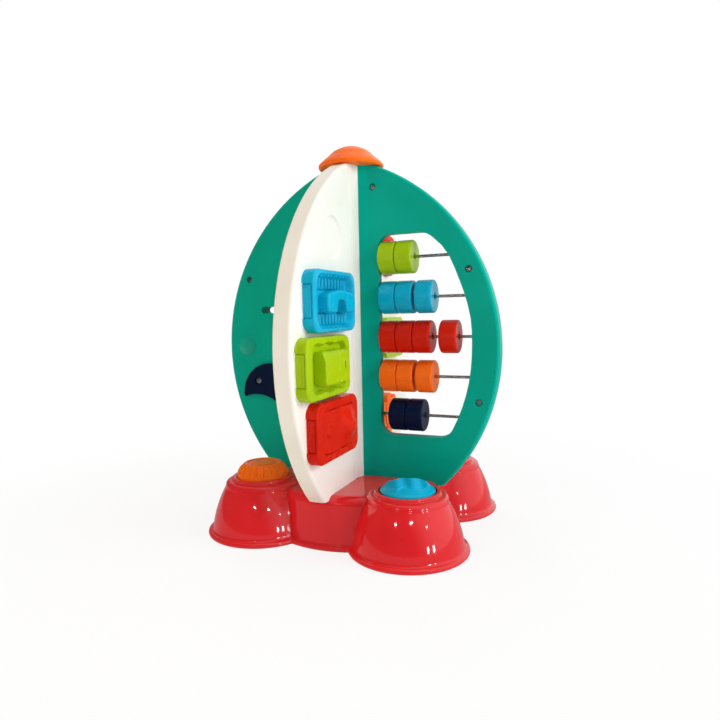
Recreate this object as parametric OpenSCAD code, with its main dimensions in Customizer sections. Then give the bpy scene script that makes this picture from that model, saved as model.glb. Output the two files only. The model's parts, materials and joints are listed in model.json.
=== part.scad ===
// Busy board: four upright fins in a cross, on a base of four bell feet, under a cap.
// Millimetres. The axis of the cross is Z and the floor is z = 0.
// The front fin points along -Y, the right fin along +X.

/* [Fins] */
// Greatest distance from the axis to a fin's rim
fin_r = 150; // [144:1:160]
// Radius of the arc that every rim follows
fin_arc_r = 195; // [190:1:205]
// Height of the fins' widest point
fin_mid_z = 180; // [176:1:186]
// Distance from the axis to the rim at the fins' cut top, under the cap
fin_top_u = 27.5; // [27:0.5:31]
// Thickness of a fin
fin_t = 18; // [17:0.5:20]
// Wall of the fins' half shells
fin_wall = 2.5; // [2:0.1:3]
// Rounding of the rim's edges
rim_round = 3.5; // [1.5:0.5:5]
// How far a fin's root stands out from its face, in the corner with the next fin
flare_rise = 3; // [2:0.5:5]
// Length over which a root flares
flare_run = 9; // [7:0.5:10]

/* [Fin screws] */
// Diameter of a fin screw's head
screw_head_d = 6.4; // [5.5:0.1:7]
// Diameter of a screw's shank
screw_d = 3; // [2.5:0.1:3.5]
// Depth of a screw's recess in the face
screw_sink = 2.6; // [2.4:0.1:3.5]
// Bearing of the top screw on the rim's arc, up from the widest point
screw_top_at = 66; // [62:0.5:67]
// Bearing of the upper screw
screw_upper_at = 24.5; // [21:0.5:27]
// Bearing of the lower screw
screw_lower_at = -16; // [-19:0.5:-13]
// Distance from the rim to the upper and lower screws
screw_inset = 12.5; // [11:0.5:14]
// Distance from the rim to the top screw
screw_top_inset = 20; // [16:0.5:24]

/* [Abacus] */
// Distance from the axis to the window's straight side
win_x = 31; // [29:0.5:36]
// Height of the window's lower edge
win_low_z = 93.5; // [88:0.5:95]
// Height of the window's upper edge
win_top_z = 293; // [291:0.5:298]
// Width of the fin between the window and the rim
win_rim = 26; // [22:0.5:28]
// Rounding of the window's corners at the straight side
win_round = 12; // [8:0.5:13]
// Rounding of the window's corners at the arc
win_tip_round = 16; // [8:0.5:17]
// How much larger the back half's window is, all round
win_step = 4; // [3:0.5:4.5]
// Diameter of a rod
rod_d = 3; // [2:0.1:4]
// Length of a rod's end that sits in the fin
rod_seat = 7; // [4:0.5:8]
// Height of the lowest rod above the window's lower edge
rod_low_gap = 20; // [19:0.5:21]
// Depth of the top rod below the window's upper edge
rod_top_gap = 22.3; // [21.5:0.1:23]
// Gap between the beads of neighbouring rods
bead_gap = 6.8; // [6.5:0.1:9]
// Length of a bead
bead_len = 17; // [14:0.5:17]
// Rounding of a bead's edges
bead_round = 2.5; // [0.5:0.5:4]

/* [Base] */
// Distance from the axis to the feet's centres, side to side
foot_x = 77; // [75:1:80]
// Distance from the axis to the feet's centres, front to back
foot_y = 64; // [63:1:68]
// Radius of a foot's rolled lip
foot_r = 56; // [55:0.5:60]
// Height of the rolled lip
lip_h = 5; // [4:0.5:6]
// Radius of a foot's bell, just above the lip
bell_r = 51.5; // [50:0.5:52.5]
// Outward bulge of the bell's side
bell_bulge = 2.2; // [0.5:0.1:3]
// Radius of the bell at its shoulder
shoulder_r = 37.5; // [37:0.5:40]
// Height of the shoulder
shoulder_z = 47; // [46:0.5:50]
// Rounding of the shoulder
shoulder_round = 4; // [3.5:0.5:5]
// Radius of the collar round a button
collar_r = 30.5; // [29.5:0.5:32]
// Height of the collar's top
collar_z = 56; // [54.5:0.5:58]
// Wall of the base shell
base_wall = 3; // [2.2:0.1:3.2]
// Radius of the hub's wall at the floor
hub_r = 95.5; // [92:0.5:98]
// Inward lean of the hub's wall, from the floor to its rounded edge
hub_lean = 5; // [3:0.5:6]
// Rounding of the hub's upper edge
hub_round = 9; // [6:0.5:10]
// Height of the hub's flat top
hub_top_z = 49; // [48:0.5:50]
// Width of the lip round the hub's lower edge
hub_lip_w = 2; // [1:0.5:2.5]
// Depth of the sockets that hold the fins' feet
socket_depth = 3.5; // [2.5:0.5:4]
// Thickness of the base plate
plate_base_t = 3; // [2:0.1:4]
// Height of the base plate above the floor
plate_base_z = 1; // [0.5:0.1:2]

/* [Buttons] */
// Radius of a button
button_r = 26.4; // [25:0.1:26.8]
// Height of a domed button's crown above the collar
dome_h = 10; // [7:0.5:13]
// Height of a fluted button's top above the collar
flute_h = 13; // [10:0.5:15]
// Radius of a fluted button's top
flute_top_r = 19; // [17:0.5:21]
// Flutes round a button
flute_count = 20; // [12:1:24]
// Travel of a button
button_travel = 4; // [2:0.5:4.5]
// Height of the switch posts' top
post_z = 34; // [32:0.5:35]
// Outer radius of a return spring
spring_r = 9; // [8:0.1:9.5]
// Wire of a return spring
spring_wire = 1.4; // [0.8:0.1:1.8]

/* [Front plates] */
// Width of a plate, from its outer edge towards the axis
plate_w = 85; // [82:0.5:86]
// Height of a plate
plate_h = 54; // [51:0.5:55]
// How far a plate stands out from the fin
plate_t = 11; // [10.5:0.5:12.5]
// Rounding of a plate's corners
plate_round = 10; // [7:0.5:12]
// Step round a plate's front edge
plate_edge = 1.5; // [0.8:0.1:2]
// Width of the recess in a plate
recess_w = 68; // [67:0.5:70]
// Height of the recess in a plate
recess_h = 42; // [41:0.5:43]
// Depth of the recess in a plate
recess_depth = 4; // [3.8:0.1:4.4]
// Floor under the recess, and wall of a plate
plate_wall = 2; // [1.5:0.1:2.2]
// Height of the side tabs
tab_h = 30; // [20:1:32]
// Distance from the fin's widest reach to the outer edge of the blue and red plates
plate_inset = 23; // [21:0.5:26]
// Distance from the fin's widest reach to the outer edge of the lime plate
plate_mid_inset = 7.5; // [6:0.5:12]
// Height of the lime plate's middle
plate_mid_z = 170.5; // [168:0.5:173]
// Distance from plate to plate
plate_pitch = 57; // [56:0.5:58]

/* [Handles] */
// Length of the turning handle
handle_w = 56; // [48:0.5:57]
// Width of the turning handle
handle_d = 20; // [16:0.5:21]
// Rounding of the turning handle's corners
handle_round = 7; // [3:0.5:8]
// Rise of the turning handle's middle over its ends
handle_arch = 5; // [2:0.5:6]
// Length of the finger notch in the turning handle
notch_w = 19; // [14:0.5:22]
// Depth of the finger notch in the turning handle
notch_d = 11; // [6:0.5:12]
// How far the handle and the block stand out from their plates
handle_h = 6.5; // [4:0.5:9]
// Length of the sliding block
block_w = 48; // [36:0.5:48]
// Width of the sliding block
block_h = 29; // [24:0.5:31]
// Travel of the sliding block
block_travel = 18; // [12:1:18]
// Distance of the resting block from the middle of its travel, towards the axis
block_rest = 3; // [0:0.5:6]
// Length of the rocker
rocker_w = 62; // [54:0.5:63]
// Height of the rocker
rocker_h = 38; // [30:0.5:39]
// Tilt of the resting rocker, which has its inner end out
rocker_set = 6; // [0:0.5:6]
// Diameter of the rocker's pin
rocker_pin_d = 2.5; // [2:0.1:2.6]

/* [Left fin] */
// Distance from the fin's widest reach to the slot's outer end
slot_inset = 43; // [40:1:50]
// Length of the slot
slot_len = 62; // [50:1:66]
// Height of the slot's middle line
slot_z = 222; // [214:1:228]
// Width of the slot
slot_w = 7; // [6:0.5:9]
// Radius of the slider's knobs
slider_r = 11; // [8:0.5:13]
// Distance from the fin's widest reach to the crescent's pivot
crescent_inset = 38.5; // [36:0.5:44]
// Height of the crescent's pivot
crescent_z = 145; // [140:0.5:148]
// Outer radius of the crescent
crescent_r = 33; // [28:0.5:34]
// Radius of the bite in the crescent
bite_r = 45; // [40:0.5:50]
// Thickness of the crescent
crescent_t = 5; // [4.5:0.5:7]
// Distance from the fin's widest reach to the raised dome's middle
boss_inset = 22.5; // [20:0.5:28]
// Height of the raised dome's middle
boss_z = 183; // [180:0.5:190]
// Radius of the raised dome
boss_r = 11; // [7:0.5:12]
// Rise of the dome
boss_rise = 4; // [2:0.5:5]

/* [Round recess and back fin] */
// Distance from the axis to the round recess of the white fins
disc_u = 70; // [64:0.5:72]
// Height of the round recess
disc_z = 280; // [276:0.5:284]
// Radius of the round recess
disc_r = 23; // [18:0.5:25]
// Depth of the round recess
disc_sink = 1.2; // [0.5:0.1:1.5]
// Thickness of the turning pieces on the back fin
turner_t = 8; // [6:0.5:10]
// Distance from the axis to the lobed dial
dial_u = 60; // [55:0.5:66]
// Height of the lobed dial
dial_z = 103; // [98:0.5:106]
// Radius of the lobed dial over its lobes
dial_r = 24; // [18:0.5:26]
// Lobes of the dial
dial_lobes = 7; // [5:1:9]
// Distance from the axis to the back slider's middle
slide_u = 74; // [70:0.5:78]
// Height of the back slider's middle
slide_z = 188.5; // [184:0.5:194]
// Length of the back slider
slide_w = 58; // [44:1:60]
// Width of the back slider
slide_h = 45; // [34:1:50]
// Travel of the back slider
slide_travel = 20; // [10:1:20]

/* [Cap] */
// Radius of the cap's brim
brim_r = 33; // [31:0.5:36]
// Thickness of the brim
brim_t = 5.5; // [4:0.5:7]
// Radius of the crown's ridge
crown_r = 19.5; // [16:0.5:23]
// Height of the cap above the fins
cap_h = 21; // [17:0.5:25]
// Diameter of the peg under the cap
peg_d = 8; // [6:0.5:9]
// Length of the peg under the cap
peg_len = 10; // [6:0.5:12]

/* [Clearances] */
// Gap between pieces that slide over each other
slip = 0.3; // [0.25:0.05:0.4]
// Radial clearance of pivots and rods
run_fit = 0.06; // [0.03:0.01:0.1]
// Radial clearance of screws and pegs in their holes
hold_fit = 0.05; // [0.02:0.01:0.1]

/* [Hidden] */
$fn = 64;
teal = "#00967f";
white = "#f8faf2";
red = "#d0282c";
blue = "#0aa3c8";
lime = "#a5c319";
orange = "#fa6e1e";
navy = "#06142f";
steel = "#b8bcc0";
eps = 0.01;
half_t = fin_t / 2;
arc_x = fin_r - fin_arc_r;
fin_top_z = fin_mid_z + sqrt(pow(fin_arc_r, 2) - pow(fin_top_u - arc_x, 2));
fin_foot_z = hub_top_z - socket_depth;
flare_out = half_t + flare_rise;
flare_len = flare_out + flare_run;
hollow_t = half_t - fin_wall;
boss_end = half_t - fin_wall / 2;
screw_r = screw_d / 2;
screw_boss_r = screw_r + 2.8;
screw_head_h = 2.2;
foot_boss_h = 16;
foot_boss_w = 12;
foot_screw_u = 62;
rod_boss = 5;
rod_low_z = win_low_z + rod_low_gap;
rod_pitch = (win_top_z - win_low_z - rod_low_gap - rod_top_gap) / 4;
bead_d = rod_pitch - bead_gap;
bead_colours = [lime, blue, red, orange, navy];
// Each row from the top: beads, then the shares of the row's free length before the first and the last bead
bead_rows = [[2, 0.031, 0], [3, 0.03, 0.075], [4, 0.043, 0.385], [3, 0.026, 0.064], [2, 0.223, 0]];
foot_dirs = [[1, -1], [-1, -1], [1, 1], [-1, 1]];
ceiling_z = shoulder_z + shoulder_round - base_wall;
hub_edge_z = hub_top_z - hub_round;
hub_ceiling_z = hub_top_z - base_wall - 0.5;
rib_z = fin_foot_z - base_wall;
rib_w = 2 * flare_out + 4;
plate_top_z = plate_base_z + plate_base_t;
post_r = 11;
switch_w = 6;
switch_h = 5.5;
seat_r = spring_r + 1;
seat_z = ceiling_z + 4;
stem_r = 4;
button_wall = 2.4;
pivot_r = 2;
pivot_head_r = 3.8;
pivot_head_h = 2.4;
pivot_sink = pivot_head_h + 0.4;
floor_x = plate_t - recess_depth;
tongue_t = 1.6;
tongue_len = 4;
clip_t = 2;
knob_stem_r = 5;
slide_neck_w = 14;
slide_neck_h = 10;
slide_plate_w = 8;
rocker_lift = 4;
rocker_end = 2;
rocker_ridge = 5.5;
bite_drop = 60;
bite_shift = 2.5;
crescent_shift = 14.5;
crescent_drop = 14;
rocker_pin_x = floor_x + 2;
rocker_pin_len = recess_h + 6;
slot_out = fin_r - slot_inset;
slider_x = slot_out - slot_len + slot_w / 2 + 3.5;
crescent_x = fin_r - crescent_inset;
boss_x = fin_r - boss_inset;
bay_w = 56;
bay_d = 50;
bay_h = 21;
bay_y = -20;
bay_wall = 2;
cell_r = 7.1;
cell_len = 49;
speaker_r = 20;
speaker_y = 58;
speaker_h = 13;
board_w = 48;
board_d = 36;
board_t = 1.6;
board_peg = 3;
base_screw_r = 1.5;
base_screw_pillar_r = 4;
base_screw_len = 15;
base_screw_side = 14;
base_screw_turn = 63.5;
base_screw_at = [for (a = [base_screw_turn, 0]) (hub_r - base_screw_side) * [cos(a), sin(a)]];
crown_edge_r = 0.52 * cap_h;

function rim_u(z, inset = 0) = arc_x + sqrt(pow(fin_arc_r - inset, 2) - pow(z - fin_mid_z, 2));
function arc_points(c, r, from, to, steps) =
  [for (i = [0 : steps]) c + r * [cos(from + (to - from) * i / steps), sin(from + (to - from) * i / steps)]];
function rim_place(at, inset) = [arc_x, fin_mid_z] + (fin_arc_r - inset) * [cos(at), sin(at)];
function screw_places() = [
  rim_place(screw_top_at, screw_top_inset),
  rim_place(screw_upper_at, screw_inset),
  rim_place(screw_lower_at, screw_inset)
];
function rod_z(row) = rod_low_z + (4 - row) * rod_pitch;
function row_free(row) = rim_u(rod_z(row), win_rim) - win_x - bead_rows[row][0] * (bead_len + slip);
function bead_x(row, i) = win_x + i * (bead_len + slip)
  + row_free(row) * (bead_rows[row][1] + (i == bead_rows[row][0] - 1 ? bead_rows[row][2] : 0));

// Centre of a window corner's rounding at the arc, for the height of that centre
function tip_centre(z, r, grow) =
  [arc_x + sqrt(pow(fin_arc_r - win_rim + grow - r, 2) - pow(z - fin_mid_z, 2)), z];
function bearing(p) = atan2(p[1] - fin_mid_z, p[0] - arc_x);
function window_outline(grow) =
  let (r = win_round + grow, t = win_tip_round + grow)
  let (x = win_x - grow, low = win_low_z - grow, high = win_top_z + grow)
  let (tip_low = tip_centre(low + t, t, grow), tip_high = tip_centre(high - t, t, grow))
  concat(
    arc_points([x + r, low + r], r, 180, 270, 6),
    arc_points(tip_low, t, -90, bearing(tip_low), 6),
    arc_points([arc_x, fin_mid_z], fin_arc_r - win_rim + grow, bearing(tip_low), bearing(tip_high), 16),
    arc_points(tip_high, t, bearing(tip_high), 90, 6),
    arc_points([x + r, high - r], r, 90, 180, 6)
  );

// Side of a foot's bell: a straight cone with a parabolic bulge, moved in by inset
function bell_side(inset) = [for (i = [0 : 8]) let (t = i / 8) [
  bell_r + (shoulder_r - bell_r) * t + 4 * bell_bulge * t * (1 - t) - inset,
  lip_h + (shoulder_z - lip_h) * t
]];

module along_y() { rotate([90, 0, 0]) children(); }
module along_x() { rotate([90, 0, 90]) children(); }
module at_feet() { for (d = foot_dirs) translate([d[0] * foot_x, d[1] * foot_y, 0]) children(); }
module round_rect(w, h, r) {
  square([w, h - 2 * r], center = true);
  square([w - 2 * r, h], center = true);
  for (x = [-1, 1], y = [-1, 1]) translate([x * (w / 2 - r), y * (h / 2 - r)]) circle(r);
}
module slab(w, h, r, from, to) {
  translate([from, 0, 0]) along_x() linear_extrude(to - from) round_rect(w, h, r);
}

// Screw along +Z with its head's top at z = 0
module screw(head_r, head_h, r, len) {
  translate([0, 0, -head_h]) cylinder(r = head_r, h = head_h);
  translate([0, 0, -len]) cylinder(r = r, h = len - head_h + eps);
}

// Fins: the front half of the right fin is drawn at +X, with its parting face on y = 0
module disc_section(r, t, edge) {
  square([r, t - edge]);
  square([r - edge, t]);
  translate([r - edge, t - edge]) circle(edge);
}
module fin_disc(inset, t, edge) {
  translate([arc_x, 0, fin_mid_z]) along_y() rotate_extrude($fn = 128) disc_section(fin_arc_r - inset, t, edge);
}
module fin_form() {
  intersection() {
    fin_disc(0, half_t, rim_round);
    translate([half_t + 1, -fin_t, fin_foot_z]) cube([fin_r, 2 * fin_t, fin_top_z - fin_foot_z]);
  }
  translate([0, 0, fin_foot_z]) linear_extrude(fin_top_z - fin_foot_z)
    polygon([[0, 0], [flare_out, -flare_out], [flare_len, -half_t], [flare_len, 0]]);
}
module fin_hollow() {
  intersection() {
    fin_disc(fin_wall, hollow_t, 1);
    translate([flare_len, -fin_t, fin_foot_z + fin_wall])
      cube([fin_r, fin_t + eps, fin_top_z - fin_foot_z - 2 * fin_wall]);
  }
}
module half_boss(u, z, r) { translate([u, 0, z]) along_y() cylinder(r = r, h = boss_end); }
module foot_boss() {
  translate([foot_screw_u - foot_boss_w / 2, -boss_end, fin_foot_z + fin_wall / 2])
    cube([foot_boss_w, boss_end, foot_boss_h]);
}
// Half shell with children(0) kept in its hollow and children(1) cut away
module half_shell(headed) {
  difference() {
    union() {
      difference() {
        fin_form();
        fin_hollow();
      }
      for (p = screw_places()) half_boss(p[0], p[1], screw_boss_r);
      foot_boss();
      children(0);
    }
    for (p = screw_places()) translate([p[0], 0, p[1]]) along_y() {
      if (headed) {
        translate([0, 0, -1]) cylinder(r = screw_r + hold_fit, h = fin_t);
        translate([0, 0, half_t - screw_sink]) cylinder(r = screw_head_d / 2 + 0.3, h = fin_t);
      } else {
        translate([0, 0, -1]) cylinder(r = screw_r + hold_fit, h = hollow_t);
      }
    }
    translate([foot_screw_u, -half_t / 2, fin_foot_z - 1]) cylinder(r = screw_r + hold_fit, h = foot_boss_h);
    translate([0, 0, fin_top_z - peg_len - slip]) cylinder(r = peg_d / 2 + hold_fit, h = peg_len + 1);
    children(1);
  }
}
module nothing() {}

// Where each half goes: u away from the axis, headed or plain side
module on_right_back() { mirror([0, 1, 0]) children(); }
module on_left_front() { mirror([1, 0, 0]) children(); }
module on_left_back() { rotate(180) children(); }
module on_front_right() { mirror([1, 1, 0]) children(); }
module on_front_left() { rotate(-90) children(); }
module on_back_right() { rotate(90) children(); }
module on_back_left() { rotate(90) mirror([0, 1, 0]) children(); }

module window_wall(step) {
  along_y() linear_extrude(boss_end) polygon(window_outline(step + fin_wall));
  for (row = [0 : 4]) {
    translate([win_x - rod_seat - 2, -boss_end, rod_z(row) - rod_boss])
      cube([rod_seat + 3, boss_end, 2 * rod_boss]);
    translate([rim_u(rod_z(row), win_rim) - 3, -boss_end, rod_z(row) - rod_boss])
      cube([rod_seat + 5, boss_end, 2 * rod_boss]);
  }
}
module window_cut(step) {
  translate([0, 1, 0]) along_y() linear_extrude(fin_t) polygon(window_outline(step));
  for (row = [0 : 4]) rod(row, hold_fit);
}
module right_fin_front() {
  color(teal) half_shell(true) {
    window_wall(0);
    window_cut(0);
  }
}
module right_fin_back() {
  color(teal) on_right_back() half_shell(false) {
    window_wall(win_step);
    window_cut(win_step);
  }
}

module slot_outline(grow) {
  for (x = [slot_out - slot_w / 2, slot_out - slot_len + slot_w / 2])
    translate([x, slot_z]) circle(slot_w / 2 + grow);
  translate([slot_out - slot_len + slot_w / 2, slot_z - slot_w / 2 - grow])
    square([slot_len - slot_w, slot_w + 2 * grow]);
}
module slot_wall() { along_y() linear_extrude(boss_end) slot_outline(fin_wall); }
module slot_cut() { translate([0, 1, 0]) along_y() linear_extrude(fin_t) slot_outline(0); }
module raised_dome() {
  ball_r = (pow(boss_r, 2) + pow(boss_rise, 2)) / (2 * boss_rise);
  intersection() {
    translate([boss_x, -half_t - boss_rise + ball_r, boss_z]) sphere(r = ball_r);
    translate([boss_x, -boss_end, boss_z]) along_y() cylinder(r = boss_r + 2, h = fin_t);
  }
}
module pivot_hole(u, z) {
  translate([u, 0, z]) along_y() translate([0, 0, 1]) cylinder(r = pivot_r + hold_fit, h = fin_t);
}
module left_fin_front() {
  color(teal) on_left_front() half_shell(true) {
    union() {
      slot_wall();
      raised_dome();
      half_boss(crescent_x, crescent_z, pivot_r + 3);
    }
    union() {
      slot_cut();
      pivot_hole(crescent_x, crescent_z);
    }
  }
}
module left_fin_back() {
  color(teal) on_left_back() half_shell(false) {
    slot_wall();
    slot_cut();
  }
}

module disc_recess() {
  translate([disc_u, -half_t + disc_sink, disc_z]) along_y() cylinder(r = disc_r, h = fin_t);
}
function plate_u(i) = fin_r - (i == 1 ? plate_mid_inset : plate_inset) - plate_w / 2;
function plate_z(i) = plate_mid_z + (1 - i) * plate_pitch;
module tongue_slots() {
  for (i = [0 : 2], side = [-1, 1])
    translate([plate_u(i) + side * (plate_w / 2 - plate_wall / 2), -half_t, plate_z(i)])
      cube([tongue_t + 2 * hold_fit, 2 * (fin_wall + 1), tab_h - 4 + 2 * hold_fit], center = true);
}
module front_fin_right() {
  color(white) on_front_right() half_shell(false) {
    nothing();
    union() {
      disc_recess();
      tongue_slots();
    }
  }
}
module front_fin_left() {
  color(white) on_front_left() half_shell(true) {
    nothing();
    nothing();
  }
}
module back_slot() {
  translate([slide_u, -half_t, slide_z])
    cube([slide_neck_w + slide_travel + 2 * slip, 2 * (fin_wall + 1), slide_neck_h + 2 * slip], center = true);
}
module back_fin_right() {
  color(white) on_back_right() half_shell(false) {
    union() {
      half_boss(disc_u, disc_z, pivot_r + 3);
      half_boss(dial_u, dial_z, pivot_r + 3);
    }
    union() {
      disc_recess();
      pivot_hole(disc_u, disc_z);
      pivot_hole(dial_u, dial_z);
      back_slot();
    }
  }
}
module back_fin_left() {
  color(white) on_back_left() half_shell(true) {
    nothing();
    nothing();
  }
}
module fin_screw_set() {
  for (p = screw_places()) translate([p[0], -half_t + screw_sink - screw_head_h, p[1]]) along_y()
    screw(screw_head_d / 2, screw_head_h, screw_r, screw_head_h + fin_t - screw_sink - fin_wall - 1);
}
module fin_screws() {
  color(steel) {
    fin_screw_set();
    on_left_front() fin_screw_set();
    on_front_left() fin_screw_set();
    on_back_left() fin_screw_set();
  }
}
module fin_foot_screws() {
  color(steel) for (turn = [0 : 90 : 270], side = [-1, 1]) rotate(turn)
    translate([foot_screw_u, side * half_t / 2, rib_z - screw_head_h]) mirror([0, 0, 1])
      screw(screw_head_d / 2, screw_head_h, screw_r, screw_head_h + base_wall + foot_boss_h - 4);
}

// Abacus
module rod(row, grow = 0) {
  z = rod_z(row);
  from = win_x - rod_seat - grow;
  to = rim_u(z, win_rim) + rod_seat + grow;
  translate([from, 0, z]) along_x() cylinder(r = rod_d / 2 + grow, h = to - from);
}
module bead_section() {
  bore = rod_d / 2 + run_fit;
  r = bead_d / 2;
  difference() {
    union() {
      square([r - bead_round, bead_len]);
      translate([0, bead_round]) square([r, bead_len - 2 * bead_round]);
      for (y = [bead_round, bead_len - bead_round]) translate([r - bead_round, y]) circle(bead_round);
    }
    translate([-1, -1]) square([bore + 1, bead_len + 2]);
    for (y = [0, bead_len]) translate([bore - 1, y - 1]) square([3, 2]);
  }
}
module bead(row, i) {
  color(bead_colours[row]) translate([bead_x(row, i), 0, rod_z(row)]) along_x() rotate_extrude() bead_section();
}

// Base
module foot_solid() {
  rotate_extrude($fn = 96) polygon(concat(
    [[0, 0]],
    arc_points([foot_r - lip_h / 2, lip_h / 2], lip_h / 2, -90, 90, 8),
    bell_side(0),
    arc_points([shoulder_r - shoulder_round, shoulder_z], shoulder_round, 15, 90, 5),
    [[collar_r, shoulder_z + shoulder_round], [collar_r, collar_z - 1], [collar_r - 1, collar_z], [0, collar_z]]
  ));
}
module foot_hollow() {
  side = bell_side(base_wall);
  rotate_extrude($fn = 96) polygon(concat(
    [[0, -1], [side[0][0], -1]],
    side,
    [[side[8][0], ceiling_z], [0, ceiling_z]]
  ));
}
module hub_solid(inset, top, low) {
  rotate_extrude($fn = 96) polygon(concat(
    [[0, low], [hub_r - inset, low]],
    arc_points([hub_r - hub_lean - hub_round, top - hub_round + inset], hub_round - inset, 0, 90, 6),
    [[0, top]]
  ));
}
module hub_lip() {
  rotate_extrude($fn = 96) polygon(concat(
    [[hub_r - base_wall / 2, 0]],
    arc_points([hub_r + hub_lip_w - lip_h / 2, lip_h / 2], lip_h / 2, -90, 90, 8),
    [[hub_r - base_wall / 2, lip_h]]
  ));
}
// Cross ribs under the hub's top, which carry the fins' feet
module hub_ribs() {
  intersection() {
    hub_solid(1, hub_top_z - 1, 0);
    translate([0, 0, rib_z]) linear_extrude(hub_round) {
      square([2 * hub_r, rib_w], center = true);
      square([rib_w, 2 * hub_r], center = true);
    }
  }
}
module fin_plan(grow) {
  far = fin_r;
  for (turn = [0 : 90 : 270]) rotate(turn) polygon([
    [0, 0], [flare_out + grow, -flare_out - grow], [flare_len, -half_t - grow], [far, -half_t - grow],
    [far, half_t + grow], [flare_len, half_t + grow], [flare_out + grow, flare_out + grow]
  ]);
}
module base_screw_places() {
  for (p = base_screw_at, sx = [-1, 1], sy = p[1] == 0 ? [1] : [-1, 1])
    translate([sx * p[0], sy * p[1], 0]) children();
}
module base_shell() {
  color(red) difference() {
    union() {
      difference() {
        union() {
          at_feet() foot_solid();
          hub_solid(0, hub_top_z, 0);
          hub_lip();
        }
        at_feet() foot_hollow();
        hub_solid(base_wall, hub_ceiling_z, -1);
      }
      hub_ribs();
      base_screw_places() translate([0, 0, plate_top_z])
        cylinder(r = base_screw_pillar_r, h = hub_ceiling_z + 1 - plate_top_z);
    }
    translate([0, 0, fin_foot_z]) linear_extrude(fin_r) fin_plan(hold_fit);
    at_feet() translate([0, 0, ceiling_z - 1]) cylinder(r = button_r + slip, h = fin_r);
    for (turn = [0 : 90 : 270], side = [-1, 1]) rotate(turn)
      translate([foot_screw_u, side * half_t / 2, 0]) cylinder(r = screw_r + hold_fit, h = fin_r);
    base_screw_places() cylinder(r = base_screw_r + hold_fit, h = plate_top_z + 14);
  }
}
module base_plan(inset) {
  for (d = foot_dirs) translate([d[0] * foot_x, d[1] * foot_y]) circle(bell_r - inset);
  circle(hub_r - hub_lean * (plate_top_z + 1) / hub_edge_z - inset, $fn = 96);
}
module bay_box(grow, from, to) {
  translate([-bay_w / 2 - grow, bay_y - bay_d / 2 - grow, from])
    cube([bay_w + 2 * grow, bay_d + 2 * grow, to - from]);
}
module base_plate() {
  color("#c9c9c4") difference() {
    union() {
      translate([0, 0, plate_base_z]) linear_extrude(plate_base_t) base_plan(base_wall + 0.2);
      at_feet() translate([0, 0, plate_top_z - eps]) cylinder(r = post_r, h = post_z - plate_top_z);
      bay_box(bay_wall, plate_base_z, plate_base_z + bay_h + bay_wall);
      for (x = [-1, 1], y = [-1, 1])
        translate([x * (board_w / 2 - 4), bay_y + y * (board_d / 2 - 4), plate_base_z + bay_h])
          cylinder(r = 3, h = bay_wall + board_peg);
    }
    bay_box(0, plate_base_z - 1, plate_base_z + bay_h);
    translate([0, speaker_y, 0]) for (ring = [0 : 2], k = [0 : max(6 * ring - 1, 0)])
      rotate(ring == 0 ? 0 : 60 * k / ring) translate([ring * 5, 0, 0]) cylinder(r = 1.5, h = plate_top_z + 1);
    base_screw_places() {
      cylinder(r = base_screw_r + hold_fit, h = plate_top_z + 1);
      cylinder(r = screw_head_d / 2 + 0.3, h = plate_base_z + 1);
    }
  }
}
module base_screws() {
  color(steel) base_screw_places() translate([0, 0, plate_base_z + 1 - 1.6]) mirror([0, 0, 1])
    screw(screw_head_d / 2, 1.6, base_screw_r, base_screw_len);
}
module battery_cover() {
  color("#c9c9c4") bay_box(-slip, plate_base_z, plate_base_z + 2.4);
}
module batteries() {
  color("#3a3f45") for (i = [-1 : 1])
    translate([-cell_len / 2, bay_y + i * (2 * cell_r + 1), plate_base_z + 2.4 + cell_r + 0.2]) along_x() {
      cylinder(r = cell_r, h = cell_len - 1.5);
      cylinder(r = 2.7, h = cell_len);
    }
}
module circuit_board() {
  color("#1f6b3a") translate([-board_w / 2, bay_y - board_d / 2, plate_base_z + bay_h + bay_wall + board_peg])
    cube([board_w, board_d, board_t]);
}
module speaker() {
  color("#2b2b2d") translate([0, speaker_y, plate_top_z]) {
    cylinder(r = speaker_r, h = 3);
    cylinder(r1 = speaker_r - 2, r2 = 11, h = 8);
    cylinder(r = 11, h = speaker_h);
  }
}

// Buttons, drawn on the axis: children(0) is the crown and children(1) is cut from the whole
module button_body(crown_under) {
  flange_z = ceiling_z - slip - button_wall;
  stem_z = post_z + switch_h + button_travel + 0.2;
  difference() {
    union() {
      translate([0, 0, flange_z]) cylinder(r = collar_r - 1.3, h = button_wall);
      translate([0, 0, flange_z]) cylinder(r = button_r, h = collar_z - flange_z);
      children(0);
    }
    translate([0, 0, flange_z - 1]) cylinder(r = button_r - button_wall, h = collar_z - flange_z + 1 + eps);
    children(1);
  }
  translate([0, 0, seat_z]) cylinder(r = seat_r, h = crown_under + 0.5 - seat_z);
  translate([0, 0, stem_z]) cylinder(r = stem_r, h = seat_z + 1 - stem_z);
}
module crown_ball(r, inset) {
  ball_r = (pow(r, 2) + pow(dome_h, 2)) / (2 * dome_h);
  intersection() {
    translate([0, 0, collar_z + dome_h - ball_r]) sphere(r = ball_r - inset, $fn = 96);
    translate([0, 0, collar_z]) cylinder(r = r - inset, h = 2 * dome_h);
  }
}
module domed_button() {
  button_body(collar_z + dome_h - button_wall - 1.5) {
    crown_ball(button_r, 0);
    crown_ball(button_r, button_wall);
  }
}
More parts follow.
